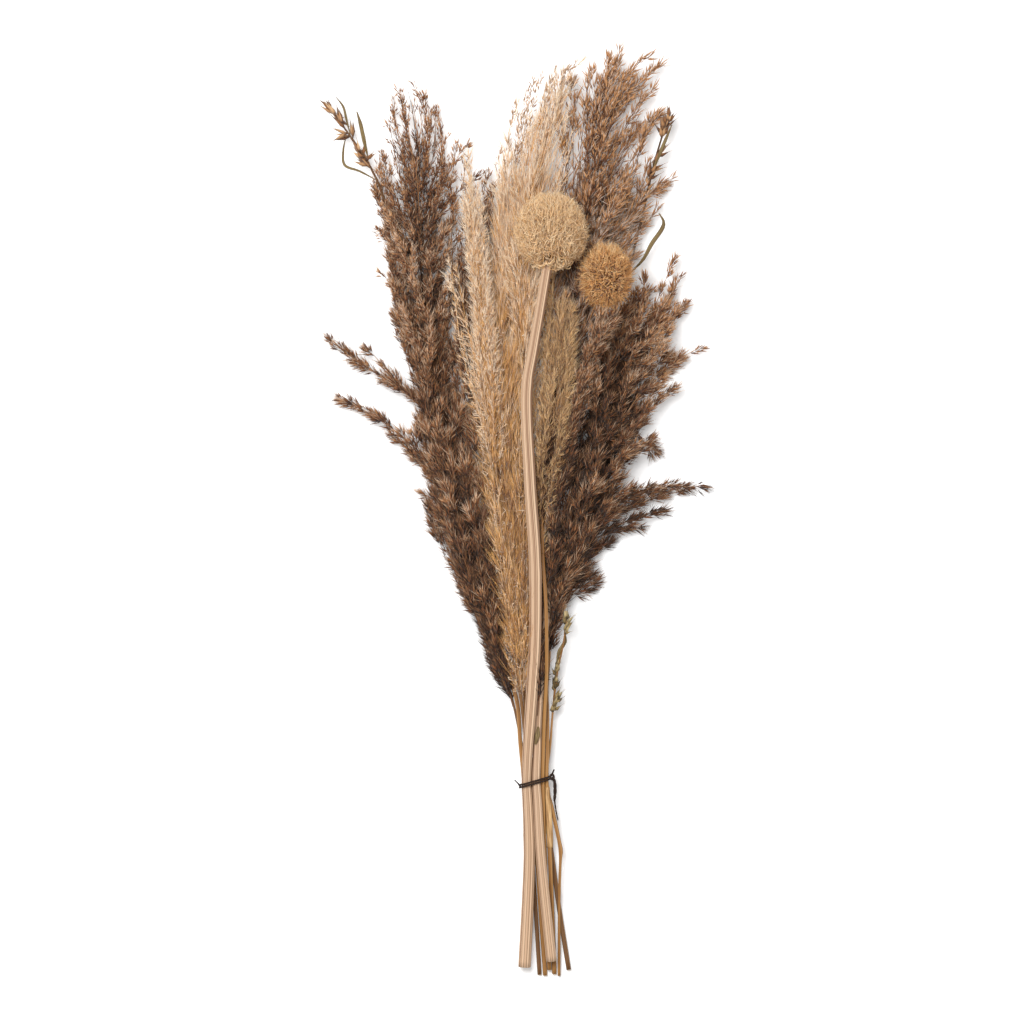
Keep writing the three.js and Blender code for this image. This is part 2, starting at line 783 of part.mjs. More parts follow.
// The outline that a taut thread takes round the stems, at a set distance from them
function outline(distance) {
  const discs = Object.values(SEATS);
  const points = [];
  for (let i = 0; i < TIE_TURNS; i += 1) {
    const turn = (2 * Math.PI * i) / TIE_TURNS;
    const [dx, dz] = [Math.cos(turn), Math.sin(turn)];
    const reach = ([x, z, radius]) => x * dx + z * dz + radius;
    const disc = discs.reduce((best, next) => (reach(next) > reach(best) ? next : best));
    const offset = disc[2] + distance;
    points.push(new THREE.Vector3(disc[0] + dx * offset, 0, disc[1] + dz * offset));
  }
  return points;
}

// Two strands side by side, with a groove between them
function band() {
  const path = outline(TIE_CLEARANCE + TIE_THICKNESS / 2);
  const middle = SEATS.headSmall[0];
  const ring = new THREE.TorusGeometry(2, 0.5, 8, TIE_TURNS);
  const places = ring.attributes.position;
  const point = new THREE.Vector3();
  for (let i = 0; i < places.count; i += 1) {
    point.fromBufferAttribute(places, i);
    const turn = (Math.atan2(point.y, point.x) + 2 * Math.PI) % (2 * Math.PI);
    const step = Math.round((turn / (2 * Math.PI)) * TIE_TURNS) % TIE_TURNS;
    const groove = Math.abs(point.z) < 0.1 ? TIE_GROOVE : 1;
    const outward = (Math.hypot(point.x, point.y) - 2) * TIE_THICKNESS * groove;
    const sideways = point.z * 2 * TIE_WIDTH;
    const seat = path[step];
    const y = TIE_Y + (seat.x - middle) * TIE_SLANT - sideways;
    places.setXYZ(i, seat.x + Math.cos(turn) * outward, y, seat.z + Math.sin(turn) * outward);
  }
  return solid(ring);
}

const KNOT = [32.7, -213.6, 18.4];
const KNOT_RADIUS = 2.2;

function tieBody() {
  const knot = new THREE.IcosahedronGeometry(KNOT_RADIUS, 0);
  knot.scale(0.9, 1.15, 1);
  knot.translate(...KNOT);
  const tails = [
    [[32.5, -214, 18.6, 1.1], [34.6, -217, 18, 1.3], [35.2, -225, 16, 1.4], [34.7, -233, 14.4, 1.2]],
    [[34.6, -231, 14.8, 0.9], [35.8, -240, 14.2, 0.8], [37.6, -249, 13.8, 0.8]],
    [[32.4, -213, 18, 0.9], [33.6, -209.6, 18.2, 0.8], [34.6, -207.6, 18, 0.7]],
  ];
  const nearEnd = [[7, -221.2, 20, 0.9], [5.4, -219, 21.4, 0.7], [2.4, -216, 22, 0.5]];
  const cords = [...tails, nearEnd].map((route) => solid(swept(route, 4, 3)));
  return oneBody(joined([band(), solid(knot), ...cords]));
}

// The assembly

const bodies = {};
for (const name of Object.keys(STEMS)) {
  bodies[`stem_${name}`] = oneBody(stemTube(name).subtract(belowSurface()));
}
bodies.tie = tieBody();

const cores = {};
for (const [name, plume] of Object.entries(PLUMES)) {
  cores[name] = core(plume);
}
for (const [name, head] of Object.entries(HEADS)) {
  cores[name] = solid(ballOf(head));
}
for (const [name, oat] of Object.entries(OATS)) {
  cores[name] = solid(swept(oat.stem, OAT_SIDES, OAT_STEPS));
}

// What a growing piece has to stay clear of: the finished pieces and the cores still to come
function neighbours(name, ownStem) {
  const finished = Object.entries(bodies).filter(([other]) => other !== `stem_${ownStem}`);
  const waiting = Object.entries(cores).filter(([other]) => other !== name && !(other in bodies));
  return [...finished, ...waiting].map(([, body]) => body);
}

for (const [name, oat] of Object.entries(OATS)) {
  bodies[name] = oatBody(oat, neighbours(name, name));
}
for (const [name, plume] of Object.entries(PLUMES)) {
  bodies[name] = plumeBody(plume, neighbours(name, plume.stem));
}
for (const [name, head] of Object.entries(HEADS)) {
  bodies[name] = headBody(head, neighbours(name, head.stem));
}

function meshOf(name, body, colour, roughness) {
  const shape = body.getMesh();
  const geometry = new THREE.BufferGeometry();
  geometry.setAttribute("position", new THREE.BufferAttribute(shape.vertProperties, 3));
  geometry.setIndex(new THREE.BufferAttribute(shape.triVerts, 1));
  geometry.computeVertexNormals();
  const material = new THREE.MeshStandardMaterial({ color: colour, roughness, metalness: 0 });
  const mesh = new THREE.Mesh(geometry, material);
  mesh.name = name;
  return mesh;
}

const NAMES = {
  reedLeft: "reed_plume_left",
  reedUpper: "reed_plume_upper",
  reedLower: "reed_plume_lower",
  pampasCentre: "pampas_plume_centre",
  pampasTop: "pampas_plume_top",
  pampasLeft: "pampas_plume_left",
  pampasRight: "pampas_plume_right",
  headLarge: "seed_head_large",
  headSmall: "seed_head_small",
  oatLeft: "oat_spray_left",
  oatRight: "oat_spray_right",
  oatLow: "oat_spray_low",
  stem_headLarge: "ridged_stem_large",
  stem_headSmall: "ridged_stem_small",
  stem_reedLeft: "stem_reed_left",
  stem_reedUpper: "stem_reed_upper",
  stem_reedLower: "stem_reed_lower",
  stem_pampasCentre: "stem_pampas_centre",
  stem_pampasTop: "stem_pampas_top",
  stem_pampasLeft: "stem_pampas_left",
  stem_pampasRight: "stem_pampas_right",
  tie: "tie",
};

function colourOf(name) {
  if (name.startsWith("stem_head")) {
    return COLOURS.ridgedStem;
  }
  if (name.startsWith("stem_")) {
    return COLOURS.straw;
  }
  if (name.startsWith("oat")) {
    return COLOURS.oat;
  }
  return COLOURS[name in PLUMES ? PLUMES[name].colour : name];
}

const bundle = new THREE.Group();
bundle.name = "dried_grass_bundle";
for (const [name, body] of Object.entries(bodies)) {
  bundle.add(meshOf(NAMES[name], body, colourOf(name), name === "tie" ? 0.8 : 0.95));
}

// The origin is below the middle of the bundle, on the surface that it lies on
const box = new THREE.Box3().setFromObject(bundle);
const middle = box.getCenter(new THREE.Vector3());
bundle.position.set(-middle.x, -middle.y, -box.min.z);

export default bundle;
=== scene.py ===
# %% [markdown]
# # A tied bundle of dried plume grasses
# The bundle lies flat on a table and is seen from straight above. Three brown reed plumes and four pale
# silky plumes fan out from a dark tie, with two round curly seed heads on thick ridged stems and three
# oat-like sprays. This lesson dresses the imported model, piece by piece, with husks, hairs and streaked straw.
# Hair could be grown with particles or hair curves, but those don't leave as a mesh. So each kind of strand
# is modelled once with bmesh operators, as a tiny closed shape, and copied along thousands of short lines.

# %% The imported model
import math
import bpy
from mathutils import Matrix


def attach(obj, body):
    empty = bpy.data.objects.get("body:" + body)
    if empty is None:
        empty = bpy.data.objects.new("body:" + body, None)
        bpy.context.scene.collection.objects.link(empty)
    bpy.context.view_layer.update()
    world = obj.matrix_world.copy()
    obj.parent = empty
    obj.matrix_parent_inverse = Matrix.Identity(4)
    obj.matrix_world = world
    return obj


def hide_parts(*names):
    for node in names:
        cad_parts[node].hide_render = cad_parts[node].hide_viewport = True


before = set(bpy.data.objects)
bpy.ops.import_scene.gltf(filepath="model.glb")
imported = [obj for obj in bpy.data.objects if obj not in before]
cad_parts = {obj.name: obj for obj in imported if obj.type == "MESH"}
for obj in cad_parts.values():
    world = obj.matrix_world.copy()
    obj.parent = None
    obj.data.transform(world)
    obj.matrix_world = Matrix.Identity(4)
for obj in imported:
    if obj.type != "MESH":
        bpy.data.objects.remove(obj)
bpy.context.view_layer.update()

# %% Tools
from types import SimpleNamespace

import bmesh
import bpy
import numpy as np

# %% [markdown]
# ## Camera
# The photograph looks straight down on the bundle with a long lens, so nothing leans. A camera nine metres
# up, whose lens spans the same width as the photograph does, gives that view without any shift.

# %% Camera
MM = 0.001
PHOTO_WIDTH = 826.4 * MM
SENSOR_WIDTH = 36.0
CAMERA_HEIGHT = 9.0
BUNDLE_MIDDLE = (2.06 * MM, 0.13 * MM, 30 * MM)


def put(name, data, location=(0, 0, 0)):
    """Puts a mesh, a camera or a light into the scene."""
    thing = bpy.data.objects.new(name, data)
    thing.location = location
    bpy.context.scene.collection.objects.link(thing)
    return thing


camera_data = bpy.data.cameras.new("camera_above")
camera_data.sensor_width = SENSOR_WIDTH
camera_data.lens = SENSOR_WIDTH * (CAMERA_HEIGHT - BUNDLE_MIDDLE[2]) / PHOTO_WIDTH
bpy.context.scene.camera = put("camera_above", camera_data, (*BUNDLE_MIDDLE[:2], CAMERA_HEIGHT))
print("lens in mm:", round(camera_data.lens, 1))

# %% [markdown]
# ## Floor and light
# The studio floor is plain and almost white, and glows a little, so shadows stay faint. A bright, even sky
# does most of the work, and one wide soft panel above and to the left gives the stems and heads a little
# roundness. The Standard view keeps straw colours as they are, where the softer default view would grey them.

# %% Floor and light
FLOOR_HALF = 12.0
FLOOR_COLOUR = (0.94, 0.94, 0.94, 1)
FLOOR_GLOW = 0.12
WHITE = (1, 1, 1, 1)
SKY_STRENGTH = 0.54
PANEL_SIZE = 1.2
PANEL_WATTS = 70.0
PANEL_PLACE = (-0.5, 0.6, 2.4)
PANEL_TILT = (math.radians(-14), math.radians(-12), 0)


def fill(tree, node, sockets):
    """Gives the sockets of a node their values. One that is another node's output is linked."""
    for key, value in sockets.items():
        if isinstance(value, bpy.types.NodeSocket):
            tree.links.new(value, node.inputs[key])
        else:
            node.inputs[key].default_value = value
    return node


def shade_with(finish, sockets):
    fill(finish.node_tree, finish.node_tree.nodes["Principled BSDF"], sockets)
    return finish


def new_finish(name, roughness, gloss=0.25, sheen=0.0):
    finish = bpy.data.materials.new(name)
    finish.use_nodes = True
    return shade_with(finish, {"Roughness": roughness, "Specular IOR Level": gloss, "Sheen Weight": sheen})


def put_shape(name, shape, smooth=True):
    """Puts a finished bmesh into the scene."""
    mesh = bpy.data.meshes.new(name)
    shape.to_mesh(mesh)
    shape.free()
    if smooth:
        mesh.shade_smooth()
    return put(name, mesh)


floor_shape = bmesh.new()
bmesh.ops.create_grid(floor_shape, x_segments=1, y_segments=1, size=FLOOR_HALF)
floor = put_shape("floor", floor_shape, smooth=False)
glow = {"Base Color": FLOOR_COLOUR, "Emission Color": WHITE, "Emission Strength": FLOOR_GLOW}
floor.data.materials.append(shade_with(new_finish("pale_floor", roughness=0.9, gloss=0.0), glow))

sky = bpy.data.worlds.new("studio")
sky.use_nodes = True
fill(sky.node_tree, sky.node_tree.nodes["Background"], {"Color": WHITE, "Strength": SKY_STRENGTH})
bpy.context.scene.world = sky
bpy.context.scene.view_settings.view_transform = "Standard"

panel_data = bpy.data.lights.new("soft_panel", "AREA")
panel_data.shape = "SQUARE"
panel_data.size = PANEL_SIZE
panel_data.energy = PANEL_WATTS
put("soft_panel", panel_data, PANEL_PLACE).rotation_euler = PANEL_TILT
print("sky", SKY_STRENGTH, "panel", PANEL_WATTS)

# %% [markdown]
# ## Lines to follow
# Every stem, plume and leaf follows a smooth line through a few points, most of them the part source's own.
# They are in millimetres, and the frame's origin lies a little off the source's, so each point moves over by
# that much. A centripetal curve is used, because it doesn't overshoot where points lie close. The points are
# written as text: a space between numbers, a comma between points and, in a table, one route on each line.

# %% A smooth line
SHIFT = np.array([1.657, -0.272, 0.0])


def way(text):
    """The points of a route: x, y, z and, where it has them, half width and half height."""
    return [[float(number) for number in point.split()] for point in text.split(",")]


def unit(vectors):
    return vectors / np.maximum(np.linalg.norm(vectors, axis=-1, keepdims=True), 1e-9)


def smooth_line(points, count=160):
    """Even steps in metres along a curve through points in mm, or through the text of a route."""
    points = way(points) if isinstance(points, str) else points
    points = np.array([[*point, *point[3:4]][:5] if len(point) == 4 else point for point in points], float)
    knots = points[:, :3] + SHIFT
    knots = np.vstack([2 * knots[0] - knots[1], knots, 2 * knots[-1] - knots[-2]])
    gaps = np.sqrt(np.linalg.norm(np.diff(knots, axis=0), axis=1))[:, None]
    slopes = np.diff(knots, axis=0) / gaps
    tangents = slopes[:-1] - (knots[2:] - knots[:-2]) / (gaps[:-1] + gaps[1:]) + slopes[1:]
    last = len(points) - 1
    t = np.linspace(0, last, 24 * last + 1)
    i = np.minimum(t.astype(int), last - 1)
    s = (t - i)[:, None]
    start, end, span = knots[i + 1], knots[i + 2], gaps[i + 1]
    curve = (2 * s**3 - 3 * s**2 + 1) * start + (3 * s**2 - 2 * s**3) * end
    curve += span * ((s**3 - 2 * s**2 + s) * tangents[i] + (s**3 - s**2) * tangents[i + 1])
    run = np.concatenate([[0], np.cumsum(np.linalg.norm(np.diff(curve, axis=0), axis=1))])
    even = np.linspace(0, run[-1], count)
    centre = np.column_stack([np.interp(even, run, curve[:, k]) for k in range(3)]) * MM
    place = np.interp(even, run, t)
    sizes = [np.interp(place, range(last + 1), points[:, k]) * MM for k in range(3, points.shape[1])]
    ahead = unit(np.gradient(centre, axis=0))
    across = unit(np.column_stack([ahead[:, 1], -ahead[:, 0], np.zeros(count)]))
    return SimpleNamespace(centre=centre, ahead=ahead, across=across, up=np.cross(across, ahead),
                           sizes=np.column_stack(sizes) if sizes else None, length=run[-1] * MM)


# %% Places on and around a line
FLOOR_GAP = 0.4 * MM
FLOOR_SOFTNESS = 1.0 * MM


def step_of(u, count):
    """The step below each share of a line, and how far past it the share lies."""
    place = np.clip(u, 0, 1) * (count - 1)
    low = np.minimum(place.astype(int), count - 2)
    return low, (place - low)[..., None]


def at(line, part, u):
    """What a part of the line is at the shares u of its length."""
    values = getattr(line, part)
    low, rest = step_of(u, len(values))
    return values[low] * (1 - rest) + values[low + 1] * rest


def around(line, u, out, turn):
    """Places at a share of the line's own half sizes from it, turned from straight above."""
    sizes = at(line, "sizes", u)
    spots = at(line, "centre", u) + at(line, "across", u) * (sizes[..., :1] * (out * np.sin(turn))[..., None])
    return spots + at(line, "up", u) * (sizes[..., 1:] * (out * np.cos(turn))[..., None])


def above_floor(heights):
    """Bends what would go through the floor up to lie on it."""
    return FLOOR_GAP + FLOOR_SOFTNESS * np.logaddexp(0, (heights - FLOOR_GAP) / FLOOR_SOFTNESS)


def turned_at_random(rng, count):
    return unit(rng.normal(size=(count, 3)))


# %% [markdown]
# ## Tubes
# A stem is a sheet rolled round its line. The sheet starts as a flat grid, takes its UV map while it is still
# flat, and is then wrapped, welded along its seam underneath and closed at both ends. So streaks can follow
# the stem: U goes round it and V along it.

# %% A tube round a line
CAP_UV = 0.02


def tube(name, line, sides, steps, out=None):
    """A closed tube. out gives the share of the line's half sizes for each (u, turn)."""
    shape = bmesh.new()
    layer = shape.loops.layers.uv.new("OFBake")
    bmesh.ops.create_grid(shape, x_segments=sides, y_segments=steps, size=1.0)
    for face in shape.faces:
        for loop in face.loops:
            loop[layer].uv = (loop.vert.co.x / 2 + 0.5, loop.vert.co.y / 2 + 0.5)
    flat = np.array([vert.co for vert in shape.verts])
    turn, u = flat[:, 0] * math.pi, flat[:, 1] / 2 + 0.5
    spots = around(line, u, np.ones(len(u)) if out is None else out(u, turn), turn)
    spots[:, 2] = above_floor(spots[:, 2])
    for vert, spot in zip(shape.verts, spots):
        vert.co = spot
    bmesh.ops.remove_doubles(shape, verts=shape.verts, dist=1e-6)
    rims = [edge for edge in shape.edges if edge.is_boundary]
    for cap in bmesh.ops.edgeloop_fill(shape, edges=rims)["faces"]:
        for i, loop in enumerate(cap.loops):
            corner = 2 * math.pi * i / len(cap.loops)
            loop[layer].uv = (0.5 + CAP_UV * math.cos(corner), 0.03 + CAP_UV * math.sin(corner))
    bmesh.ops.recalc_face_normals(shape, faces=shape.faces)
    return put_shape(name, shape)


# %% [markdown]
# ## Strands
# A bract is a slim spindle with three sides, and a hair is a needle with three sides. Each is a closed shape
# of a few faces, one unit long, so that tens of thousands of copies stay light. A curly strand is the same
# needle with more rings. The UV map of a copy holds only two things: U is its own shade, and V runs from its
# root to its tip.

# %% Small shapes to copy
BELLY = 0.4


def shape_of(shape):
    """The places and corners of a small bmesh shape that stands on 0 and is 1 high."""
    bmesh.ops.triangulate(shape, faces=shape.faces)
    shape.verts.index_update()
    spots = np.array([vert.co for vert in shape.verts])
    corners = np.array([[vert.index for vert in face.verts] for face in shape.faces])
    shape.free()
    heights, level = np.unique(spots[:, 2].round(4), return_inverse=True)
    return SimpleNamespace(spots=spots, corners=corners, heights=heights, level=level)


def spindle(flatness):
    shape = bmesh.new()
    bmesh.ops.create_uvsphere(shape, u_segments=3, v_segments=2, radius=0.5)
    bmesh.ops.scale(shape, vec=(1, flatness, 1), verts=shape.verts)
    for vert in shape.verts:
        height = vert.co.z + 0.5
        vert.co.z = height if height < 0.1 or height > 0.9 else BELLY
    return shape_of(shape)


def needle(rings):
    shape = bmesh.new()
    bmesh.ops.create_cone(shape, cap_ends=True, segments=3, radius1=0.5, radius2=0.0, depth=1.0)
    bmesh.ops.remove_doubles(shape, verts=shape.verts, dist=1e-6)
    long_edges = [edge for edge in shape.edges if abs(edge.verts[0].co.z - edge.verts[1].co.z) > 0.5]
    if rings > 2:
        bmesh.ops.subdivide_edges(shape, edges=long_edges, cuts=rings - 2)
    for vert in shape.verts:
        height = vert.co.z + 0.5
        fuller = (1 - height**3) / max(1 - height, 0.02)
        vert.co = (vert.co.x * fuller, vert.co.y * fuller, height)
    return shape_of(shape)


bract = spindle(0.6)
hair = needle(2)
bent_hair = needle(3)
curl = needle(7)
for label, shape in (("bract", bract), ("hair", hair), ("bent hair", bent_hair), ("curl", curl)):
    print(label, "faces:", len(shape.corners), "rings at", shape.heights)

# %% Copies along many lines
def grow(name, shape, lines, thickness, shades):
    """One object of copies of a small shape, each laid along its own short line."""
    facing = turned_at_random(np.random.default_rng(len(lines)), len(lines))
    ahead = unit(np.gradient(lines, axis=1))
    side = unit(np.cross(ahead, facing[:, None]))
    rise = np.cross(ahead, side)
    wide = np.broadcast_to(thickness, len(lines))[:, None, None]
    spots = lines[:, shape.level]
    spots = spots + wide * shape.spots[:, :1] * side[:, shape.level]
    spots = spots + wide * shape.spots[:, 1:2] * rise[:, shape.level]
    spots[..., 2] = above_floor(spots[..., 2])
    shade = np.clip(shades, 0.02, 0.97)[:, None] + 0.01 * shape.spots[:, 0]
    height = np.broadcast_to(0.02 + 0.95 * shape.spots[:, 2] + 0.01 * shape.spots[:, 1], shade.shape)
    corners = shape.corners + (np.arange(len(lines)) * len(shape.spots))[:, None, None]
    uv = np.stack([shade, height], axis=-1).reshape(-1, 2)[corners.ravel()]
    mesh = bpy.data.meshes.new(name)
    mesh.vertices.add(spots.size // 3)
    mesh.vertices.foreach_set("co", spots.ravel())
    mesh.loops.add(corners.size)
    mesh.loops.foreach_set("vertex_index", corners.ravel())
    mesh.polygons.add(corners.size // 3)
    mesh.polygons.foreach_set("loop_start", np.arange(0, corners.size, 3))
    mesh.update(calc_edges=True)
    mesh.uv_layers.new(name="OFBake").data.foreach_set("uv", uv.ravel())
    mesh.shade_smooth()
    return put(name, mesh)


# %% Keeping a piece
triangles = {}


def keep(piece, finish, slot, *nodes):
    """Gives a piece its finish and its place in the part. The slot is not used."""
    piece.data.materials.append(finish)
    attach(piece, "root")
    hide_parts(*nodes)
    triangles[piece.name] = sum(len(face.vertices) - 2 for face in piece.data.polygons)
    print(piece.name, "triangles:", triangles[piece.name])


def keep_strands(rng, node, part, shape, lines, thickness, shades, finish, slot):
    """Copies along lines, kept as a piece. A thickness in mm, or the shades, can be a pair to draw between."""
    thickness, shades = (rng.uniform(*given, len(lines)) if isinstance(given, tuple) else given
                         for given in (thickness, shades))
    keep(grow(f"{node}_{part}", shape, lines, thickness * MM, shades), finish, slot, node)


# %% [markdown]
# ## Finishes
# Dry grass has no single colour: every husk and hair is a shade of its own. Part of that shade is painted
# shade: strands deeper in a plume get a darker shade, and the root colours are darker than the tip colours,
# partly the grass's own colour and partly painted shade at the roots. A strand's finish therefore reads its
# shade and its height from the UV map, and two colour ramps paint the root and the tip. Straw is
# streaked along its length, so its finish stretches noise along V.

# %% Node helpers
def tone(red, green, blue):
    """A linear colour from the red, green and blue that a screen shows."""
    shown = np.array([red, green, blue]) / 255
    return (*np.where(shown <= 0.04045, shown / 12.92, ((shown + 0.055) / 1.055) ** 2.4), 1.0)


def add(finish, kind, sockets, **settings):
    node = finish.node_tree.nodes.new(kind)
    for key, value in settings.items():
        setattr(node, key, value)
    return fill(finish.node_tree, node, sockets)


def ramp(finish, factor, stops):
    """A colour ramp through (place, colour) stops."""
    node = add(finish, "ShaderNodeValToRGB", {"Fac": factor})
    while len(node.color_ramp.elements) < len(stops):
        node.color_ramp.elements.new(0.5)
    for element, (place, colour) in zip(node.color_ramp.elements, stops):
        element.position = place
        element.color = tone(*colour)
    return node.outputs["Color"]


def mix(finish, factor, first, second):
    return add(finish, "ShaderNodeMix", {0: factor, 6: first, 7: second}, data_type="RGBA").outputs[2]


def maths(finish, operation, *values):
    return add(finish, "ShaderNodeMath", dict(enumerate(values)), operation=operation).outputs[0]


def noise(finish, place, scale, detail):
    return add(finish, "ShaderNodeTexNoise", {"Vector": place, "Scale": scale, "Detail": detail}).outputs["Fac"]


def roughen(finish, height, strength, distance):
    bump = add(finish, "ShaderNodeBump", {"Height": height, "Strength": strength, "Distance": distance})
    return shade_with(finish, {"Normal": bump.outputs["Normal"]})


def own_map(finish):
    uv = add(finish, "ShaderNodeUVMap", {}, uv_map="OFBake")
    parts = add(finish, "ShaderNodeSeparateXYZ", {"Vector": uv.outputs["UV"]})
    return uv.outputs["UV"], parts.outputs["X"], parts.outputs["Y"]


# %% Finishes of strands
def strand_finish(name, roots, tips, middles=(0.5, 0.5), roughness=0.75, sheen=0.1):
    """From dark, middle and pale colours for the root and for the tip."""
    finish = new_finish(name, roughness, sheen=sheen)
    _, shade, height = own_map(finish)
    root, tip = (ramp(finish, shade, list(zip((0.0, middle, 1.0), colours)))
                 for middle, colours in zip(middles, (roots, tips)))
    return shade_with(finish, {"Base Color": mix(finish, height, root, tip)})


reed_husk = strand_finish(
    "reed_husk", [(24, 13, 7), (80, 46, 25), (142, 90, 52)], [(74, 41, 21), (158, 99, 57), (230, 176, 122)],
    middles=(0.45, 0.5))
reed_hair = strand_finish(
    "reed_hair", [(20, 12, 6), (122, 81, 46), (212, 172, 136)], [(50, 32, 20), (190, 139, 92), (255, 231, 206)])
hazy_reed_hair = strand_finish(
    "hazy_reed_hair", [(44, 29, 20), (138, 104, 76), (216, 188, 164)],
    [(92, 66, 48), (202, 164, 132), (255, 240, 226)])
silky_hair = strand_finish(
    "silky_hair", [(100, 52, 16), (222, 155, 74), (255, 228, 192)],
    [(172, 108, 44), (255, 199, 114), (255, 245, 230)],
    middles=(0.45, 0.45), roughness=0.6, sheen=0.35)
golden_hair = strand_finish(
    "golden_hair", [(52, 28, 12), (158, 106, 56), (226, 176, 116)],
    [(96, 58, 26), (200, 148, 88), (255, 224, 170)],
    roughness=0.6, sheen=0.25)
large_curl = strand_finish(
    "large_curl", [(116, 70, 32), (206, 154, 94), (240, 202, 150)],
    [(170, 118, 66), (234, 192, 138), (255, 236, 200)],
    sheen=0.25)
small_curl = strand_finish(
    "small_curl", [(104, 58, 24), (190, 122, 58), (222, 164, 96)],
    [(168, 106, 52), (228, 174, 106), (255, 226, 172)],
    sheen=0.2)
oat_husk = strand_finish(
    "oat_husk", [(72, 42, 24), (124, 82, 50), (172, 128, 88)], [(106, 66, 38), (168, 120, 78), (220, 184, 140)])
olive_husk = strand_finish(
    "olive_husk", [(58, 46, 24), (104, 86, 50), (150, 130, 86)],
    [(96, 78, 46), (158, 134, 90), (206, 186, 142)])
print("strand finishes ready")

# %% Finishes of straw, leaves and cores
STREAK_HEIGHT = 0.6 * MM
SPOT_HEIGHT = 2 * MM


def streaked(name, dark, middle, pale, streaks, along, roughness=0.5, bump=0.15, edge=0.14, grooves=0):
    """Straw: fine lines along the stem, slow changes of tone, and a dark line in each groove, if it has any."""
    finish = new_finish(name, roughness, gloss=0.35)
    uv, across, _ = own_map(finish)

    def stretched(scale, detail):
        place = add(finish, "ShaderNodeMapping", {"Vector": uv, "Scale": scale})
        return noise(finish, place.outputs[0], 1.0, detail)

    fine, slow = stretched((streaks, along, 1), 5.0), stretched((2.5, along * 2.2, 1), 3.0)
    lines = ramp(finish, fine, [(0.5 - edge, dark), (0.5, middle), (0.5 + edge, pale)])
    colour = mix(finish, 0.25, lines, ramp(finish, slow, [(0.3, dark), (0.7, middle)]))
    if grooves:
        drift = maths(finish, "MULTIPLY", slow, 5.0)
        wave = maths(finish, "COSINE", maths(finish, "MULTIPLY_ADD", across, grooves * 2 * math.pi, drift))
        depth = add(finish, "ShaderNodeMapRange", {"Value": wave, "From Min": 0.55, "To Max": 0.68})
        colour = mix(finish, depth.outputs[0], colour, tone(*dark))
    return roughen(shade_with(finish, {"Base Color": colour}), fine, bump, STREAK_HEIGHT)


def mottled(name, dark, pale, size):
    """A core: soft mottling in space, under everything that grows on it."""
    finish = new_finish(name, roughness=0.9, gloss=0.1)
    spots = noise(finish, add(finish, "ShaderNodeTexCoord", {}).outputs["Object"], size, 6.0)
    shade_with(finish, {"Base Color": ramp(finish, spots, [(0.35, dark), (0.65, pale)])})
    return roughen(finish, spots, 0.6, SPOT_HEIGHT)


ridged_straw = streaked("ridged_straw", (106, 68, 45), (211, 177, 144), (237, 211, 180), 30, 0.5, bump=0.4,
                        edge=0.13, grooves=14)
ochre_straw = streaked("ochre_straw", (88, 54, 24), (152, 106, 54), (194, 147, 86), 9, 1.4, edge=0.12)
brown_straw = streaked("brown_straw", (54, 33, 16), (110, 74, 39), (150, 110, 64), 9, 1.4, edge=0.12)
sheath_straw = streaked("sheath_straw", (128, 90, 52), (188, 148, 98), (222, 188, 138), 16, 3.0, bump=0.5)
dark_twig = streaked("dark_twig", (44, 30, 20), (78, 54, 36), (112, 84, 56), 7, 4.0, roughness=0.7)
dry_leaf = streaked("dry_leaf", (70, 54, 30), (108, 88, 52), (146, 126, 80), 12, 1.5, roughness=0.65)
tie_cord = streaked("tie_cord", (12, 6, 4), (34, 19, 11), (72, 44, 26), 5, 60.0, roughness=0.8, bump=0.6)
cut_face = mottled("cut_face", (190, 150, 106), (238, 212, 172), 900.0)
# Painted shade: the reed core is near black so that the gaps between tufts read as shadow.
painted_shade_core = mottled("painted_shade_core", (26, 17, 11), (70, 47, 32), 260.0)
silky_core = mottled("silky_core", (128, 90, 54), (186, 144, 98), 260.0)
# Painted shade: the head core is dark brown so that the gaps between curls read as shadow.
head_shade_core = mottled("head_shade_core", (84, 52, 26), (156, 108, 60), 400.0)
print("straw finishes ready")

# %% [markdown]
# ## The two thick ridged stems
# They carry the seed heads, and they are the palest and clearest lines in the photograph: pinkish straw with
# fine lengthwise ribs, a small kink where a leaf once grew, and a pale cut at the foot. The tube is given
# shallow flutes all round, and swells a little at the kinks.

# %% Ridged stems
LARGE_STEM = """
10.5 -367.6 9.2 5.1, 13.4 -310 13 4.9, 14.5 -272.4 16.6 4.7, 12.9 -232 18.9 4.2, 12.1 -217.5 19.6 4,
13.2 -190 24.4 4.2, 14.9 -167.5 27.6 4.6, 17.2 -135 31.5 4.9, 19 -103 35.5 5.1, 19 -38 43.5 5.1,
14.9 26 53 4.9, 12.5 100.5 65 4.5, 17.4 131 70 4.3, 23 163.4 75.5 4.1, 28.6 197.3 80 4, 30 206 79.5 3.9"""
SMALL_STEM = """
32.3 -362.7 11.5 4.3, 26.8 -310 17.2 4.1, 23.2 -272.4 20.4 3.9, 20.9 -232 20.6 3.6, 20 -217.5 20.2 3.5,
20.8 -190 19.9 3.5, 21.3 -165 20.8 3.5, 23.3 -135 23.2 3.5, 27 -103 22.8 3.5, 31 -38 27.5 3.5, 37 15 30 3.4,
47 74.6 35 3.3, 57.5 112 45 3.2, 69 147 56 3.1, 75.6 165 61.5 3.1, 76.2 176 63.5 3"""


def fluted(flutes, depth, nodes):
    """Ribs round a stem, and a slight swelling at each node."""
    def out(u, turn):
        ribs = 1 - depth * (0.5 + 0.5 * np.cos(flutes * turn)) ** 3
        for node in nodes:
            ribs = ribs + 0.08 * np.exp(-(((u - node) / 0.006) ** 2))
        return ribs
    return out


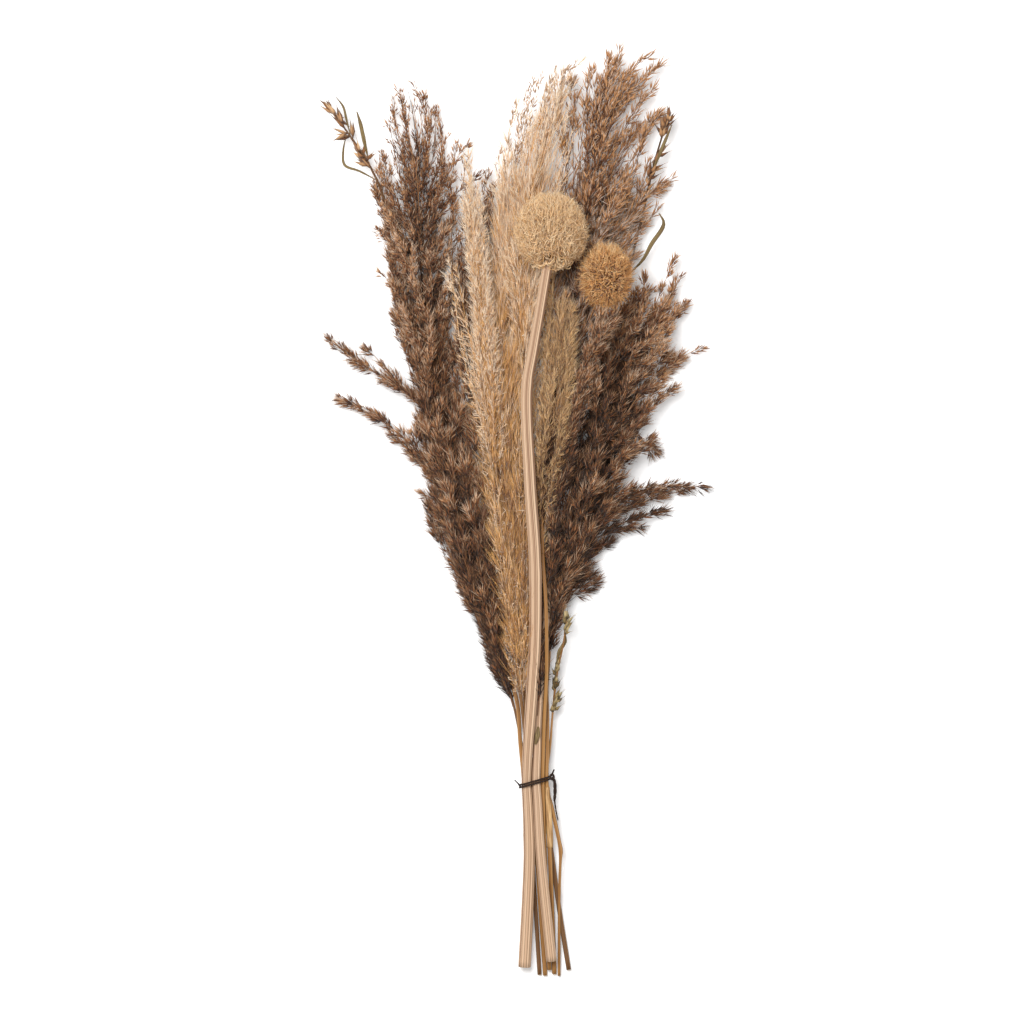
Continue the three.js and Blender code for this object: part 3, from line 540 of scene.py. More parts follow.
RIDGED_STEMS = {"ridged_stem_large": (LARGE_STEM, [0.55, 0.82]), "ridged_stem_small": (SMALL_STEM, [0.52, 0.7])}
for name, (route, nodes) in RIDGED_STEMS.items():
    straw = tube(f"{name}_straw", smooth_line(route, 240), 70, 110, fluted(14, 0.13, nodes))
    keep(straw, ridged_straw, "ridged_stem", name)

# %% Their pale cut ends
CUT_DEPTH = 0.5 * MM


def cut_end(name, line):
    """A thin disc of pith on a stem's foot, with a dent in its middle."""
    disc = bmesh.new()
    bmesh.ops.create_cone(disc, cap_ends=True, segments=24, radius1=0.9, radius2=0.8, depth=1.0)
    dented = [face for face in disc.faces if len(face.verts) > 4 and face.normal.z > 0.5]
    bmesh.ops.inset_region(disc, faces=dented, thickness=0.35)
    bmesh.ops.translate(disc, verts=dented[0].verts, vec=(0, 0, -0.4))
    wide, high = line.sizes[0]
    for vert in disc.verts:
        spot = line.across[0] * vert.co.x * wide + line.up[0] * vert.co.y * high
        vert.co = line.centre[0] + spot - line.ahead[0] * vert.co.z * CUT_DEPTH
    bmesh.ops.recalc_face_normals(disc, faces=disc.faces)
    return put_shape(name, disc, smooth=False)


for name, (route, _) in RIDGED_STEMS.items():
    keep(cut_end(f"{name}_cut", smooth_line(route, 240)), cut_face, "ridged_stem", name)

# %% [markdown]
# ## The thin stems
# Seven thin stems run through the tie. Some are bright ochre straw and some are dark brown, and one has the
# knob and the ragged sheath that the photograph shows below the tie.

# %% Thin stems
THIN_STEMS = {
    "stem_reed_left": (ochre_straw, """
12.4 -338 3.4 1.8, 11.4 -272 8.6 1.7, 9.9 -217.5 13.6 1.7, 7.2 -187 14.6 1.7, 3.6 -149 16 1.7, -8 -121 16 1.5"""),
    "stem_reed_upper": (brown_straw, """
46.4 -370 2.6 2, 38.5 -320 4.2 2, 32.6 -276 7.8 1.9, 28.2 -248 10.4 1.9, 24.7 -217.5 15 1.8, 25 -187 13.6 1.8,
26 -149 11.3 1.8, 26.8 -110 8.6 1.8, 32 -38 6 1.8, 38 26 8 1.7, 43.2 74.6 13.5 1.6, 47 104 15.5 1.5"""),
    "stem_reed_lower": (ochre_straw, """
34.7 -373.3 2.3 2, 31.4 -285 12.3 1.9, 30.9 -270 13.6 1.9, 31.1 -264 14 2.2, 29.8 -235 16.1 1.9,
28.5 -217.5 17.2 1.6, 29 -187 17.4 1.6, 29 -165 17.4 1.6, 28.4 -145 17.8 1.6, 30.5 -112 17.6 1.5"""),
    "stem_pampas_centre": (ochre_straw, """
27.3 -374.6 2.2 1.9, 21 -285 9.6 1.7, 17.3 -217.5 14.8 1.5, 14.4 -187 15.4 1.5, 10.5 -149 16.5 1.5,
7.5 -115 17 1.4"""),
    "stem_pampas_top": (brown_straw, """
24 -262 12.4 1.4, 20.9 -217.5 14.6 1.4, 20.3 -187 14.4 1.4, 19.4 -149 15.2 1.4, 18.3 -100 17 1.4,
18.4 -40 21 1.4, 16.6 26 28 1.3, 15.6 91 35 1.3, 9.5 147 40 1.2, 10.5 172 41 1.1"""),
    "stem_pampas_left": (brown_straw, """
22.7 -374 2.2 1.8, 17.4 -285 8.4 1.6, 13.8 -217.5 13.6 1.4, 11.6 -187 17.8 1.4, 7.5 -149 23 1.4,
1.2 -100 28.5 1.4, -9 -40 31.5 1.3, -12 20 34 1.2, -12.6 50 36 1.1"""),
    "stem_pampas_right": (ochre_straw, """
30.7 -370 4.4 1.8, 27.3 -285 13.4 1.7, 25.4 -217.5 19.2 1.6, 25.9 -187 21 1.5, 26.6 -165 24.5 1.5,
28.2 -133 31 1.5, 28.4 -103 36 1.5, 27.6 -70 38.5 1.5, 25.5 -38 39 1.4, 24 6 40 1.2"""),
}
for name, (finish, route) in THIN_STEMS.items():
    line = smooth_line(route)
    keep(tube(f"{name}_straw", line, 14, 60, fluted(5, 0.08, [0.35])), finish, "thin_stem", name)
    keep(cut_end(f"{name}_cut", line), cut_face, "thin_stem", name)

# %% The sheath round one of them
SHEATH = "31.1 -271 13.6 2.5, 31 -262 14.2 2.6, 29.9 -238 16 2.3, 28.9 -222 17.1 1.9"


def ragged(u, turn):
    torn = 0.3 * np.abs(np.sin(4 * turn)) * np.exp(-((u / 0.05) ** 2))
    return 1 - torn + 0.05 * np.cos(7 * turn + 9 * u)


sheath = tube("stem_reed_lower_sheath", smooth_line(SHEATH), 28, 30, ragged)
keep(sheath, sheath_straw, "thin_stem", "stem_reed_lower")

# %% [markdown]
# ## The brown reed plumes
# A reed plume is a main stem with many branches that lean forward. Each branch carries short twigs, and each
# twig is a small tuft: slim reddish brown bracts, wrapped in fine pale hairs. It could be a shaggy noise on
# one solid, but then it would have no gaps. Building it as the plant does, from branch to twig to bract,
# gives the tufts, the gaps and the spiky outline by itself. The gaps are made darker with painted shade: a
# near-black core inside, and darker strands deeper in the plume.

# %% Branches inside a plume
GOLDEN_TURN = math.pi * (3 - math.sqrt(5))
BRANCH_STEPS = 15
LAST_ROOT = 0.88


def branch_lines(plume, count, reach, rng, tips, start, bow, ends, crowded, lean=0.0):
    """Branches that leave the main stem one after another and lean out to the plume's outline."""
    order = np.arange(count)
    root = LAST_ROOT * ((order + rng.random(count)) / count) ** crowded
    turn = order * GOLDEN_TURN + rng.normal(0, 0.2, count)
    long = np.minimum(rng.uniform(*reach, count) * MM / plume.length, rng.uniform(*ends, count) - root)
    s = np.linspace(0, 1, BRANCH_STEPS)
    out = rng.uniform(*tips, count)[:, None] * (start + (1 - start) * s**bow)
    sway = rng.normal(0, 0.22, count)[:, None] * s**2
    lines = around(plume, root[:, None] + long[:, None] * s, out, turn[:, None] + sway)
    lines[..., 0] += lean * MM * s**2
    return lines


def own_lines(table):
    """Branches with a route of their own, one to each line of a table."""
    routes = [smooth_line(line, BRANCH_STEPS).centre for line in table.strip().splitlines()]
    return np.array(routes).reshape(-1, BRANCH_STEPS, 3)


def counts_along(lines, per_mm):
    return (np.linalg.norm(np.diff(lines, axis=1), axis=2).sum(axis=1) / MM * per_mm).astype(int)


def on_lines(lines, which, s):
    """Places and directions at the shares s of the chosen lines."""
    low, rest = step_of(s, lines.shape[1])
    first, second = lines[which, low], lines[which, low + 1]
    return first * (1 - rest) + second * rest, unit(second - first)


def place_in(plume, spots):
    """How far out of a plume places are, where 1 is its outline, and how far along it."""
    shares = np.linspace(0, 1, 60)
    away = np.linalg.norm(spots[:, None] - at(plume, "centre", shares), axis=2)
    nearest = away.argmin(axis=1)
    wide = at(plume, "sizes", shares)[nearest].mean(axis=1)
    return np.clip(away.min(axis=1) / np.maximum(wide, 4 * MM), 0, 1.2), shares[nearest]

# %% Twigs along branches
TWIG_STEPS = 6


def sideways(rng, ahead):
    off = turned_at_random(rng, len(ahead))
    return unit(off - ahead * (off * ahead).sum(axis=1, keepdims=True))


def twig_lines(branches, counts, sizes, angle, rng):
    """Twigs all along the branches. They leave at an angle, turn forwards, and get shorter to the tip."""
    which = np.repeat(np.arange(len(branches)), counts)
    s = 0.04 + 0.96 * rng.random(len(which))
    spot, ahead = on_lines(branches, which, s)
    off = sideways(rng, ahead)
    start = unit(ahead + off * rng.uniform(*angle, len(which))[:, None])
    end = unit(ahead + 0.15 * off + rng.normal(0, 0.12, ahead.shape))
    span = (sizes[which] * rng.uniform(0.65, 1.15, len(which)) * (1.1 - 0.55 * s))[:, None, None]
    t = np.linspace(0, 1, TWIG_STEPS)[:, None]
    return which, spot[:, None] + span * (start[:, None] * t + 0.5 * (end - start)[:, None] * t**2)


# %% Spikelets, and the strands that grow from them
def spikelets(plume, lines, counts, spread, rng, taper):
    """Where spikelets sit, round their branches and in the plume, and which way they point."""
    which = np.repeat(np.arange(len(lines)), counts)
    s = 0.06 + 0.94 * rng.random(len(which)) ** 0.85
    spot, ahead = on_lines(lines, which, s)
    off = sideways(rng, ahead)
    far = taper(s) * np.sqrt(rng.random(len(which)))
    ahead = unit(ahead + off * (0.1 + 0.32 * far[:, None]) + rng.normal(0, 0.1, ahead.shape))
    root = spot + off * (far * np.broadcast_to(spread, len(lines))[which])[:, None]
    depth, u = place_in(plume, root)
    spikes = SimpleNamespace(root=root, ahead=ahead, which=which, s=s, depth=depth, u=u, size=np.ones(len(which)))
    return picked(spikes, root[:, 2] > -2 * MM)


def picked(spikes, chosen):
    return SimpleNamespace(**{part: values[chosen] for part, values in vars(spikes).items()})


def spindle_taper(s):
    return np.sin(math.pi * np.clip(s, 0, 0.97) ** 0.8) ** 0.7


def foxtail_taper(s):
    return np.clip(1.0 - 0.85 * s**3, 0.1, 1) * np.clip(s / 0.15, 0.2, 1)


def strand_lines(spikes, per_spike, shape, rng, length, stray, slide=0.0, bend=0.0):
    """Lines for copies of a small shape, a few to each spikelet, and the spikelet that each belongs to."""
    which = np.repeat(np.arange(len(spikes.root)), per_spike)
    ahead = spikes.ahead[which]
    root = spikes.root[which] + ahead * rng.uniform(0, slide, (len(which), 1)) * MM
    ahead = unit(ahead + rng.normal(0, stray, (len(which), 3)))
    span = (rng.uniform(*length, len(which)) * spikes.size[which])[:, None, None] * MM
    h = shape.heights[:, None]
    arch = rng.normal(0, bend * MM, (len(which), 1, 3)) * 4 * h * (1 - h)
    return which, root[:, None] + span * h * ahead[:, None] + arch

# %% One reed plume
TWIGS_PER_MM, TWIG_LENGTH, TWIG_SPIKELETS = 0.165, 20, 14
SPRAY_TWIGS_PER_MM, SPRAY_TWIG_LENGTH, SPRAY_SPIKELETS = 0.3, 10.5, 9
TWIG_ANGLE = (0.2, 0.65)
TUFT_SPREAD = 2.1 * MM
# Own-route branches get a fixed share along the plume, and a fixed depth for the painted shade.
OWN_SHARE, OWN_SHADE_DEPTH = 0.4, 0.85


def reed_plume(node, axis, sprays, seed, branches, reach, core_end, open_from, airy, pale, fine, rise=1.0, lean=0.0,
               hairs=reed_hair, bracts=(6, 11), *, covers):
    """sprays and covers are branches with their own routes: slight ones at the edge, and full ones inside it."""
    rng = np.random.default_rng(seed)
    plume, sprays = smooth_line(axis), own_lines(sprays)
    inner = branch_lines(plume, branches, reach, rng, (0.6, 1.15), 0.05, 1.05, (0.94, 1.0), crowded=0.95, lean=lean)
    lines = np.concatenate([inner, sprays, own_lines(covers)])
    is_spray = np.zeros(len(lines), bool)
    is_spray[branches:branches + len(sprays)] = True

    share = np.append(np.linspace(0, 1, branches), np.full(len(lines) - branches, OWN_SHARE))
    scale = np.interp(share, [0.3, 0.6], [1, fine])
    counts = counts_along(lines, np.where(is_spray, SPRAY_TWIGS_PER_MM, TWIGS_PER_MM / scale**0.6))
    sizes = np.where(is_spray, SPRAY_TWIG_LENGTH, TWIG_LENGTH * scale) * MM
    owner, twigs = twig_lines(lines, counts, sizes, TWIG_ANGLE, rng)
    per_twig = np.where(is_spray[owner], SPRAY_SPIKELETS, TWIG_SPIKELETS)
    spikes = spikelets(plume, twigs, per_twig, TUFT_SPREAD, rng, spindle_taper)
    missing = airy * np.clip((spikes.u - open_from) / 0.2, 0, 1) * np.where(is_spray[owner[spikes.which]], 0.4, 1)
    spikes = picked(spikes, rng.random(len(missing)) > missing)
    branch, u, depth = owner[spikes.which], spikes.u, spikes.depth
    spikes.size = np.interp(u, [0.4, 0.65], [1, fine])
    # The own-route branches are painted with the shade of one fixed depth.
    depth[branch >= branches] = OWN_SHADE_DEPTH
    tints = rng.uniform(-0.14, 0.14, len(lines))[branch] + rng.uniform(-0.18, 0.18, len(twigs))[spikes.which]
    # Painted shade: spikelets deeper in the plume, and those near their twig's root, get a darker shade; pale, rise
    # and tints are the plume's own tone.
    base = pale[0] + (pale[1] - pale[0]) * u**rise + 0.7 * (depth - 0.8) + 0.4 * (spikes.s - 0.5) + tints

    which, husks = strand_lines(spikes, 1, bract, rng, bracts, 0.2)
    shades = 0.08 + 0.72 * base[which] + rng.uniform(-0.3, 0.3, len(husks))
    keep_strands(rng, node, "husks", bract, husks, (0.9, 1.7), shades, reed_husk, "reed_plume")

    per_spike = np.where(u > open_from + 0.08, rng.integers(0, 2, len(branch)), rng.integers(1, 3, len(branch)))
    which, fluff = strand_lines(spikes, per_spike, hair, rng, (7, 14), 0.22, slide=4)
    shades = base[which] + rng.uniform(-0.4, 0.5, len(fluff))
    keep_strands(rng, node, "hairs", hair, fluff, (0.3, 0.65), shades, hairs, "reed_plume")

    threads = lines[:, [0, 3, 6, 9, 12, 14, 14]]
    threads[:, -1] += (lines[:, -1] - lines[:, -2]) * 0.5
    keep_strands(rng, node, "branches", curl, threads, 0.6, (0, 1), reed_husk, "reed_plume")
    keep_strands(rng, node, "twigs", bent_hair, twigs[:, [0, 3, 5]], 0.4, (0, 1), reed_husk, "reed_plume")

    def shaggy(u, turn):
        waves = np.sin(5 * turn + 90 * u) + np.sin(3 * turn - 47 * u)
        ends = np.clip((core_end - u) / 0.12, 0.03, 1) * np.clip(u / 0.06, 0.15, 1)
        return (0.4 + 0.05 * waves) * ends

    # The core is finished near black: painted shade between the tufts.
    keep(tube(f"{node}_core", plume, 20, 60, shaggy), painted_shade_core, "reed_plume", node)
    print(node, "twigs:", len(twigs))


# %% The left reed plume
reed_plume("reed_plume_left", """
0 -148 17 3 3, -5.7 -134 16 6 7, -13.8 -102.6 15 9 11, -25 -70.3 15 15 16, -32.3 -38 15 18 20,
-43.6 10.4 14 18 24, -57.3 58.8 14 22 25, -62 91 14 22 26, -71 171.8 15 27 29, -74 212 15 34 29,
-75 252.5 16 41 27, -75 284.7 17 34 24, -78 309 18 26 18, -80 325 18 19 14, -83 338 18 10 8, -85 349 18 5 4""", """
-66 78 15, -84.3 94.8 15, -102 108.5 13, -116.6 116.6 11, -147.3 139.2 8
-84.3 94.8 15, -107.7 124 17, -117 131 17
-70 84 12, -90 100 12, -106 108 10
-60 34 15, -78.7 52.9 15, -102 72.2 13, -119.8 82.7 10, -138.4 92.4 8
-62 30 12, -82 50 12, -96 60 10
-64 140 14, -41 185 9, -23 235 8, -17 262 9
-50 150 14, -30 200 10, -20 240 9
-76 255 18, -85 310 20, -90 342 20
-72 260 18, -68 315 24, -73 338 26
-68 240 20, -50 275 24, -38 296 24
-66 230 20, -44 258 20, -26 272 20
-80 210 18, -96 238 14, -108 258 12
-84 190 16, -98 224 15, -106 248 13, -111 266 12
-86 215 17, -96 250 17, -101 274 16, -103 288 16
-54 -36 14, -63 -8 12, -66 6 11""",
    seed=11, branches=135, reach=(55, 100), core_end=0.66, open_from=0.7, airy=0.88, pale=(-0.3, 0.78), fine=0.6,
    rise=0.5, covers="""
1 -157 17, -2 -146 19, -7 -134 21, -11 -118 22
-40 -52 14, -48 -32 13, -54 -14 13, -58 4 12
-36 -44 16, -45 -24 16, -52 -4 16, -56 14 15
-1 -150 19, -4 -138 21, -8 -122 23, -13 -104 24
-3 -146 21, -6 -130 24, -10 -114 26, -14 -94 27
0 -152 13, -5 -143 12, -10 -130 12, -16 -114 12
-4 -144 16, -10 -128 16, -17 -110 16, -24 -92 16
-6 -112 14, -13 -60 14, -17 -10 15, -19 40 16
-4 -100 22, -12 -70 25, -19 -35 27, -24 0 28
-14 -50 12, -19 20 13, -22 90 14, -26 150 15
-20 0 22, -28 45 26, -34 90 27, -40 130 28
-22 60 13, -26 120 13, -30 180 13, -30 230 13
-30 20 12, -36 60 12, -38 110 13, -40 160 14
-34 90 22, -38 130 24, -42 175 24
-28 -20 20, -33 20 22, -37 60 23
-44 150 13, -38 200 12, -36 250 12, -39 282 13
-34 150 12, -28 200 11, -24 240 11, -21 268 11
-40 120 14, -32 170 13, -28 220 12
-50 160 16, -48 210 16, -50 255 16, -54 290 16
-78 110 14, -88 150 14, -95 190 13, -99 228 12
-76 90 16, -86 132 18, -93 172 18, -98 210 16
-84 150 15, -94 196 15, -100 240 14, -102 270 13
-24 150 18, -20 195 20, -16 235 21, -16 268 21
-30 160 20, -25 205 22, -21 240 23, -22 262 23
-36 110 16, -40 150 18, -41 195 18, -39 235 18
-38 140 14, -38 185 14, -35 225 14, -34 262 14
-30 60 14, -34 100 14, -37 140 14
-34 40 16, -40 80 17, -45 120 18, -46 160 18""")

# %% The two right reed plumes
reed_plume("reed_plume_upper", """
43.6 78 14 7 7, 46 131 15 18 22, 55 187.6 16 25 28, 63 240 17 27 28, 67 285 18 24 26, 70 316 18 20 22,
75 340 19 16 14, 80 358 19 10 8""", """
69.8 252.5 18, 87.5 288.8 16, 103.7 310.6 12, 116.6 320.2 10
61.7 228.2 20, 81.9 260.5 18, 102 292.8 16, 113.3 315.4 15
69.8 276.7 22, 89.9 308.9 22, 106.1 333.2 20, 114.1 340.4 19
73.8 300.9 24, 89.9 329.1 24, 106.1 349.3 22, 120.6 361.4 20
69.8 308.9 26, 84.3 337.2 27, 95.6 355.8 26, 106.9 366.2 25
73 317 26, 78.6 345.3 28, 85.1 363.8 28, 87.5 374.3 28
68.1 317 24, 71.4 337.2 26, 76.2 355.8 27, 78.6 363 27
61.7 317 24, 60.9 333.2 26, 63.3 350.9 27, 67.3 359 27
55.2 300.9 22, 50.4 323.5 24, 47.2 341.2 25, 48.8 349.3 25
47.2 284.7 22, 41.5 307.3 24, 39.9 326.7 25, 42.3 337.2 25
73.8 212.1 18, 94 237.9 18, 106.1 264.6 17, 110.1 284.7 16
79.4 220.2 22, 95.6 240.4 22, 108.5 254.1 20, 116.6 260.5 19
69.8 196 18, 89.9 212.1 16, 106.1 231.5 14, 117.4 242.8 12
69.8 178.2 16, 84.3 191.1 14, 97.2 205.7 12
102 258.9 14, 116.6 262.1 10, 127.1 268.6 9
77.8 240.4 24, 94 268.6 24, 103.7 292.8 23, 106.9 304.9 22""",
    seed=23, branches=95, reach=(50, 95), core_end=0.5, open_from=0.5, airy=0.85, pale=(0.48, 1.5), fine=0.8,
    lean=12, hairs=hazy_reed_hair, bracts=(8, 14), covers="""
24 60 20, 28 110 24, 32 150 28, 36 190 30
20 100 20, 24 150 24, 28 190 26, 34 230 28
40 150 24, 37 200 26, 36 235 28, 39 270 28
46 200 28, 46 240 32, 52 280 34
40 190 20, 42 240 22, 47 290 24, 52 328 24
46 180 18, 50 230 20, 55 285 22, 60 330 23
34 200 20, 38 250 22, 43 290 24, 46 316 24
66 196 18, 84 232 18, 97 262 17, 103 288 16
70 226 22, 88 258 21, 102 286 19, 108 306 18
50 240 22, 50 285 24, 50 318 25, 52 338 25
44 230 22, 44 270 23, 46 303 24, 49 326 24""")
reed_plume("reed_plume_lower", """
29 -127 18 3 3, 30.2 -102.6 18 4 5, 34.3 -70.3 17 6 9, 41.5 -54 16 8 13, 47 -38 15 12.5 18, 58 10.4 15 21 26,
67.3 42.6 15 29 29, 78.6 74.9 15 35 31, 83.5 107.2 15 36 30, 92 131.4 16 37 27, 103.6 155.6 17 27 20,
110 176 17 18 8""", """
70 -10 14, 90.8 12.5 14, 113.4 19 12, 152.4 21.6 9
68 -8 16, 86 8 16, 104 14 14, 122 22 12
72 -8 12, 92 2 12, 112 10 10, 134 17 9
70 -14 14, 92 -8 15, 119.8 -0.2 13
66 -22 12, 86 -15 12, 104.5 -9.8 10
58 -42 12, 69 -32 11, 77 -24 9
50 -66 12, 58 -63 10, 65 -58 8
94 70 13, 106 58 11, 114 50.7 9
98 100 14, 118 120 13, 131 129.8 12
108 106 14, 132 122 11, 149.5 132 9
106 125 16, 126 150 13, 140 168 11
104 135 18, 124 168 16, 135.5 188 14
104 140 18, 120 176 18, 130.5 204 16
98 140 22, 104 165 26, 107.7 186.3 27""",
    seed=37, branches=115, reach=(50, 95), core_end=0.85, open_from=0.82, airy=0.5, pale=(0.03, 0.9), fine=0.75,
    rise=2.6, lean=6, covers="""
21 -164 25, 22.5 -145 27, 24 -125 29.5, 27 -105 31
38 -84 14, 46 -70 14, 54 -60 13, 61 -52 11
22 -158 24, 23 -138 26, 24 -112 28, 24 -92 29
32 -112 20, 34 -90 24, 36 -55 29, 38 -22 33
24 -88 29, 28 -60 32, 32 -35 34, 35 -8 36
30 -70 32, 34 -25 36, 40 15 39, 46 45 41
32 -20 35, 37 20 39, 43 55 43, 50 85 47
36 0 37, 42 40 41, 50 75 45, 58 100 51
46 60 43, 54 95 51, 63 125 59, 70 145 63
52 95 50, 62 128 60, 68 146 65, 70 156 67
60 110 52, 70 138 62, 78 152 66, 84 160 66
44 30 39, 54 80 47, 66 120 55, 80 150 53
26 60 34, 30 100 40, 36 140 46, 42 170 50
34 -50 20, 40 -15 22, 46 25 26, 52 70 30
36 -70 18, 42 -30 20, 47 5 22, 50 45 26
28 -30 24, 33 5 27, 39 40 30, 44 80 34""")

# %% [markdown]
# ## The pale silky plumes
# These are combed rather than tufted: long fine hairs run almost along the plume, gathered into loose
# bundles with darker golden grooves between them, from a tone of each bundle's own and from painted shade
# on the hairs deeper in the plume. Every hair follows the plume's own outline, and lifts a little at its tip.
# Short curly flecks catch the light near the edges.

# %% One silky plume
WISP_SHARE = 0.45
STRING_PER_MM = 0.8


def silky_plume(node, axis, seed, branches, reach, per_mm, spread, length, pale, wisps, flecks, strings="",
                stray=0.2, sparse_from=1.0, mixed=0.43, finish=silky_hair, slot="pampas_plume"):
    """wisps are bundles of hair with their own routes, and strings carry florets at the plume's tip."""
    rng = np.random.default_rng(seed)
    plume = smooth_line(axis)
    inner = branch_lines(plume, branches, reach, rng, (0.3, 1.1), 0.62, 1.2, (0.8, 1.0), crowded=1.1)
    lines = np.concatenate([inner, own_lines(wisps)])
    per_line = counts_along(lines, per_mm)
    per_line[branches:] = (per_line[branches:] * WISP_SHARE).astype(int)
    wide = rng.uniform(0.75, 1.2, len(lines)) * spread * MM
    spikes = spikelets(plume, lines, per_line, wide, rng, foxtail_taper)
    missing = 0.86 * np.clip((spikes.u - sparse_from) / 0.35, 0, 1) * (spikes.which < branches)
    spikes = picked(spikes, rng.random(len(missing)) > missing)
    u, depth = spikes.u, spikes.depth
    away = unit(spikes.root - at(plume, "centre", u))
    spikes.ahead = unit(spikes.ahead + 0.2 * depth[:, None] * away)
    # Painted shade: hairs deeper in the plume get a darker shade in base below, and the wisps are painted as if at
    # the outside.
    depth[spikes.which >= branches] = 1.0
    tints = rng.uniform(-0.26, 0.26, len(lines))[spikes.which]
    base = pale[0] + (pale[1] - pale[0]) * u + 0.35 * (depth - 0.7) + tints
    which, fluff = strand_lines(spikes, 3, hair, rng, length, stray, slide=5)
    shades = base[which] + rng.uniform(-mixed, mixed + 0.04, len(fluff))
    keep_strands(rng, node, "hairs", hair, fluff, (0.28, 0.62), shades, finish, slot)

    chosen = np.flatnonzero((depth > 0.7) & (away[:, 2] > -0.3))
    chosen = rng.choice(chosen, min(flecks, len(chosen)), replace=False)
    loose = picked(spikes, chosen)
    loose.ahead = unit(loose.ahead + 0.55 * away[chosen])
    _, curls = strand_lines(loose, 1, bent_hair, rng, (4, 8.5), 0.35, bend=1.5)
    shades = rng.uniform(0.6, 1.0, len(curls))
    keep_strands(rng, node, "flecks", bent_hair, curls, (0.4, 0.75), shades, finish, slot)

    if strings:
        strings = own_lines(strings)
        beads = spikelets(plume, strings, counts_along(strings, STRING_PER_MM), 2.6 * MM, rng, foxtail_taper)
        _, florets = strand_lines(beads, 1, bract, rng, (3.5, 7), 0.25)
        keep_strands(rng, node, "florets", bract, florets, (0.8, 1.5), (0.4, 0.9), reed_hair, slot)
        lines = np.concatenate([lines, strings])
    threads = lines[:, [0, 3, 6, 9, 12, 13, 14]]
    keep_strands(rng, node, "branches", curl, threads, 0.4, (0.35, 1), finish, slot)

    def slim(u, turn):
        return 0.4 * np.clip((0.7 - u) / 0.25, 0.04, 1) * np.clip(u / 0.05, 0.2, 1)

    # The golden plume's core takes the near-black painted shade core, for its dark gaps.
    core = painted_shade_core if finish is golden_hair else silky_core
    keep(tube(f"{node}_core", plume, 16, 60, slim), core, slot, node)


# %% The four silky plumes
silky_plume("pampas_plume_centre", """
9 -139 17 6 6, 5.2 -70.6 17 13 11, -1.5 10 17 18 14, -6 90.8 20 23 16, -3 171.5 27 23 15, 3 232 31 21 13,
8 290 35 17 9, 14 330 38 10 5""",
    seed=41, branches=150, reach=(70, 150), per_mm=0.8, spread=3.2, length=(14, 25),
    stray=0.1, flecks=2000, sparse_from=0.55, mixed=0.3, pale=(-0.06, 0.98),
    strings="""
-4 240 31, -9 262 33, -11 282 34, -9 292 34
0 230 31, -6 270 34, -2 300 35, 3 329 36
-2 250 32, 2 285 35, 8 305 36, 9 318 36
6 270 36, 10 310 38, 15 335 39, 18 349 39
8 280 36, 15 320 38, 20 340 39, 25 353 39
4 270 34, 6 310 36, 11 334 37, 14 343 37""",
    wisps="""
6 40 34, 9 90 40, 12 135 46, 16 175 50
8 90 40, 13 140 48, 20 190 54
2 -60 24, 6 0 30, 8 50 36, 8 100 40
8 -110 22, 9 -60 26, 10 0 32
6 -150 21, 5 -128 25, 2 -96 28, 0 -56 30
9 -148 23, 10 -122 28, 9 -92 32, 8 -56 34
7 -142 25, 8 -118 29, 5 -85 31, 2 -45 32
4 -152 22, 2 -130 26, -1 -108 28, -3 -84 28
12 -150 24, 12 -128 29, 11 -104 33, 10 -80 35
10 -152 22, 8 -134 26, 7 -112 30, 5 -88 31
5 -146 24, 3 -124 29, 1 -100 31, -1 -72 31
13 -142 26, 13 -118 31, 12 -96 34, 11 -70 36
8 -156 20, 7 -140 24, 4 -120 27, 2 -100 29
12 -134 22, 14 -105 28, 13 -75 32, 12 -35 36
2 -128 18, 0 -100 21, -3 -65 23, -6 -20 24
8 -130 18, 11 -95 21, 12 -60 24, 12 -10 28
14 70 36, 18 115 42, 22 155 46
12 40 34, 16 90 38, 19 130 42
1 -104 30, -4 -64 33, -8 -20 35, -12 20 37
-4 -84 30, -9 -40 33, -13 0 36, -16 40 39
2 -120 27, -1 -90 31, -5 -50 33, -7 -10 34""")
silky_plume("pampas_plume_top", """
9.8 130 40 6 5, 12 195.7 41 20 11, 20 262 42 25 12, 31 312 42 19 10, 38 338 41 11 6, 43 352 41 6 4""",
    seed=53, branches=85, reach=(60, 120), per_mm=0.7, spread=3.8, length=(9, 16),
    stray=0.14, flecks=900, sparse_from=0.3, pale=(0.42, 0.98),
    strings="""
36 320 42, 41 342 42, 46 356 41, 52 362 40
33 300 43, 36 330 44, 40 350 44, 46 360 43
26 290 45, 29 325 46, 31 345 46, 35 358 45
22 270 44, 24 305 45, 26 330 45, 28 345 44""",
    wisps="""
11 100 40, 16 150 48, 24 195 50
30 300 42, 38 340 42, 42 358 41
34 310 42, 43 350 41, 56 363 39
28 290 44, 34 330 45, 37 352 44
24 270 44, 28 310 46, 30 340 45""")
silky_plume("pampas_plume_left", """
-12.4 30 35 5 4, -17.4 91 39 9 7, -23 147 43 9 7, -28.6 212 44 8 6, -31.9 260 43 6 5, -33.5 290 42 3 2""",
    seed=61, branches=46, reach=(50, 110), per_mm=0.7, spread=3.0, length=(6, 10), flecks=1100, pale=(0.46, 0.98),
    wisps="""
-14 42 37, -30 91 41, -41.6 139 43, -46.5 180 43, -50 203 42
-14 60 38, -26 110 42, -36 150 44, -44 196 43
-18 90 40, -30 130 43, -42 168 44, -52 190 43
-14 30 36, -24 70 40, -33 110 42, -38 140 43
-8 -20 32, -16 30 36, -24 80 40, -30 120 42""")
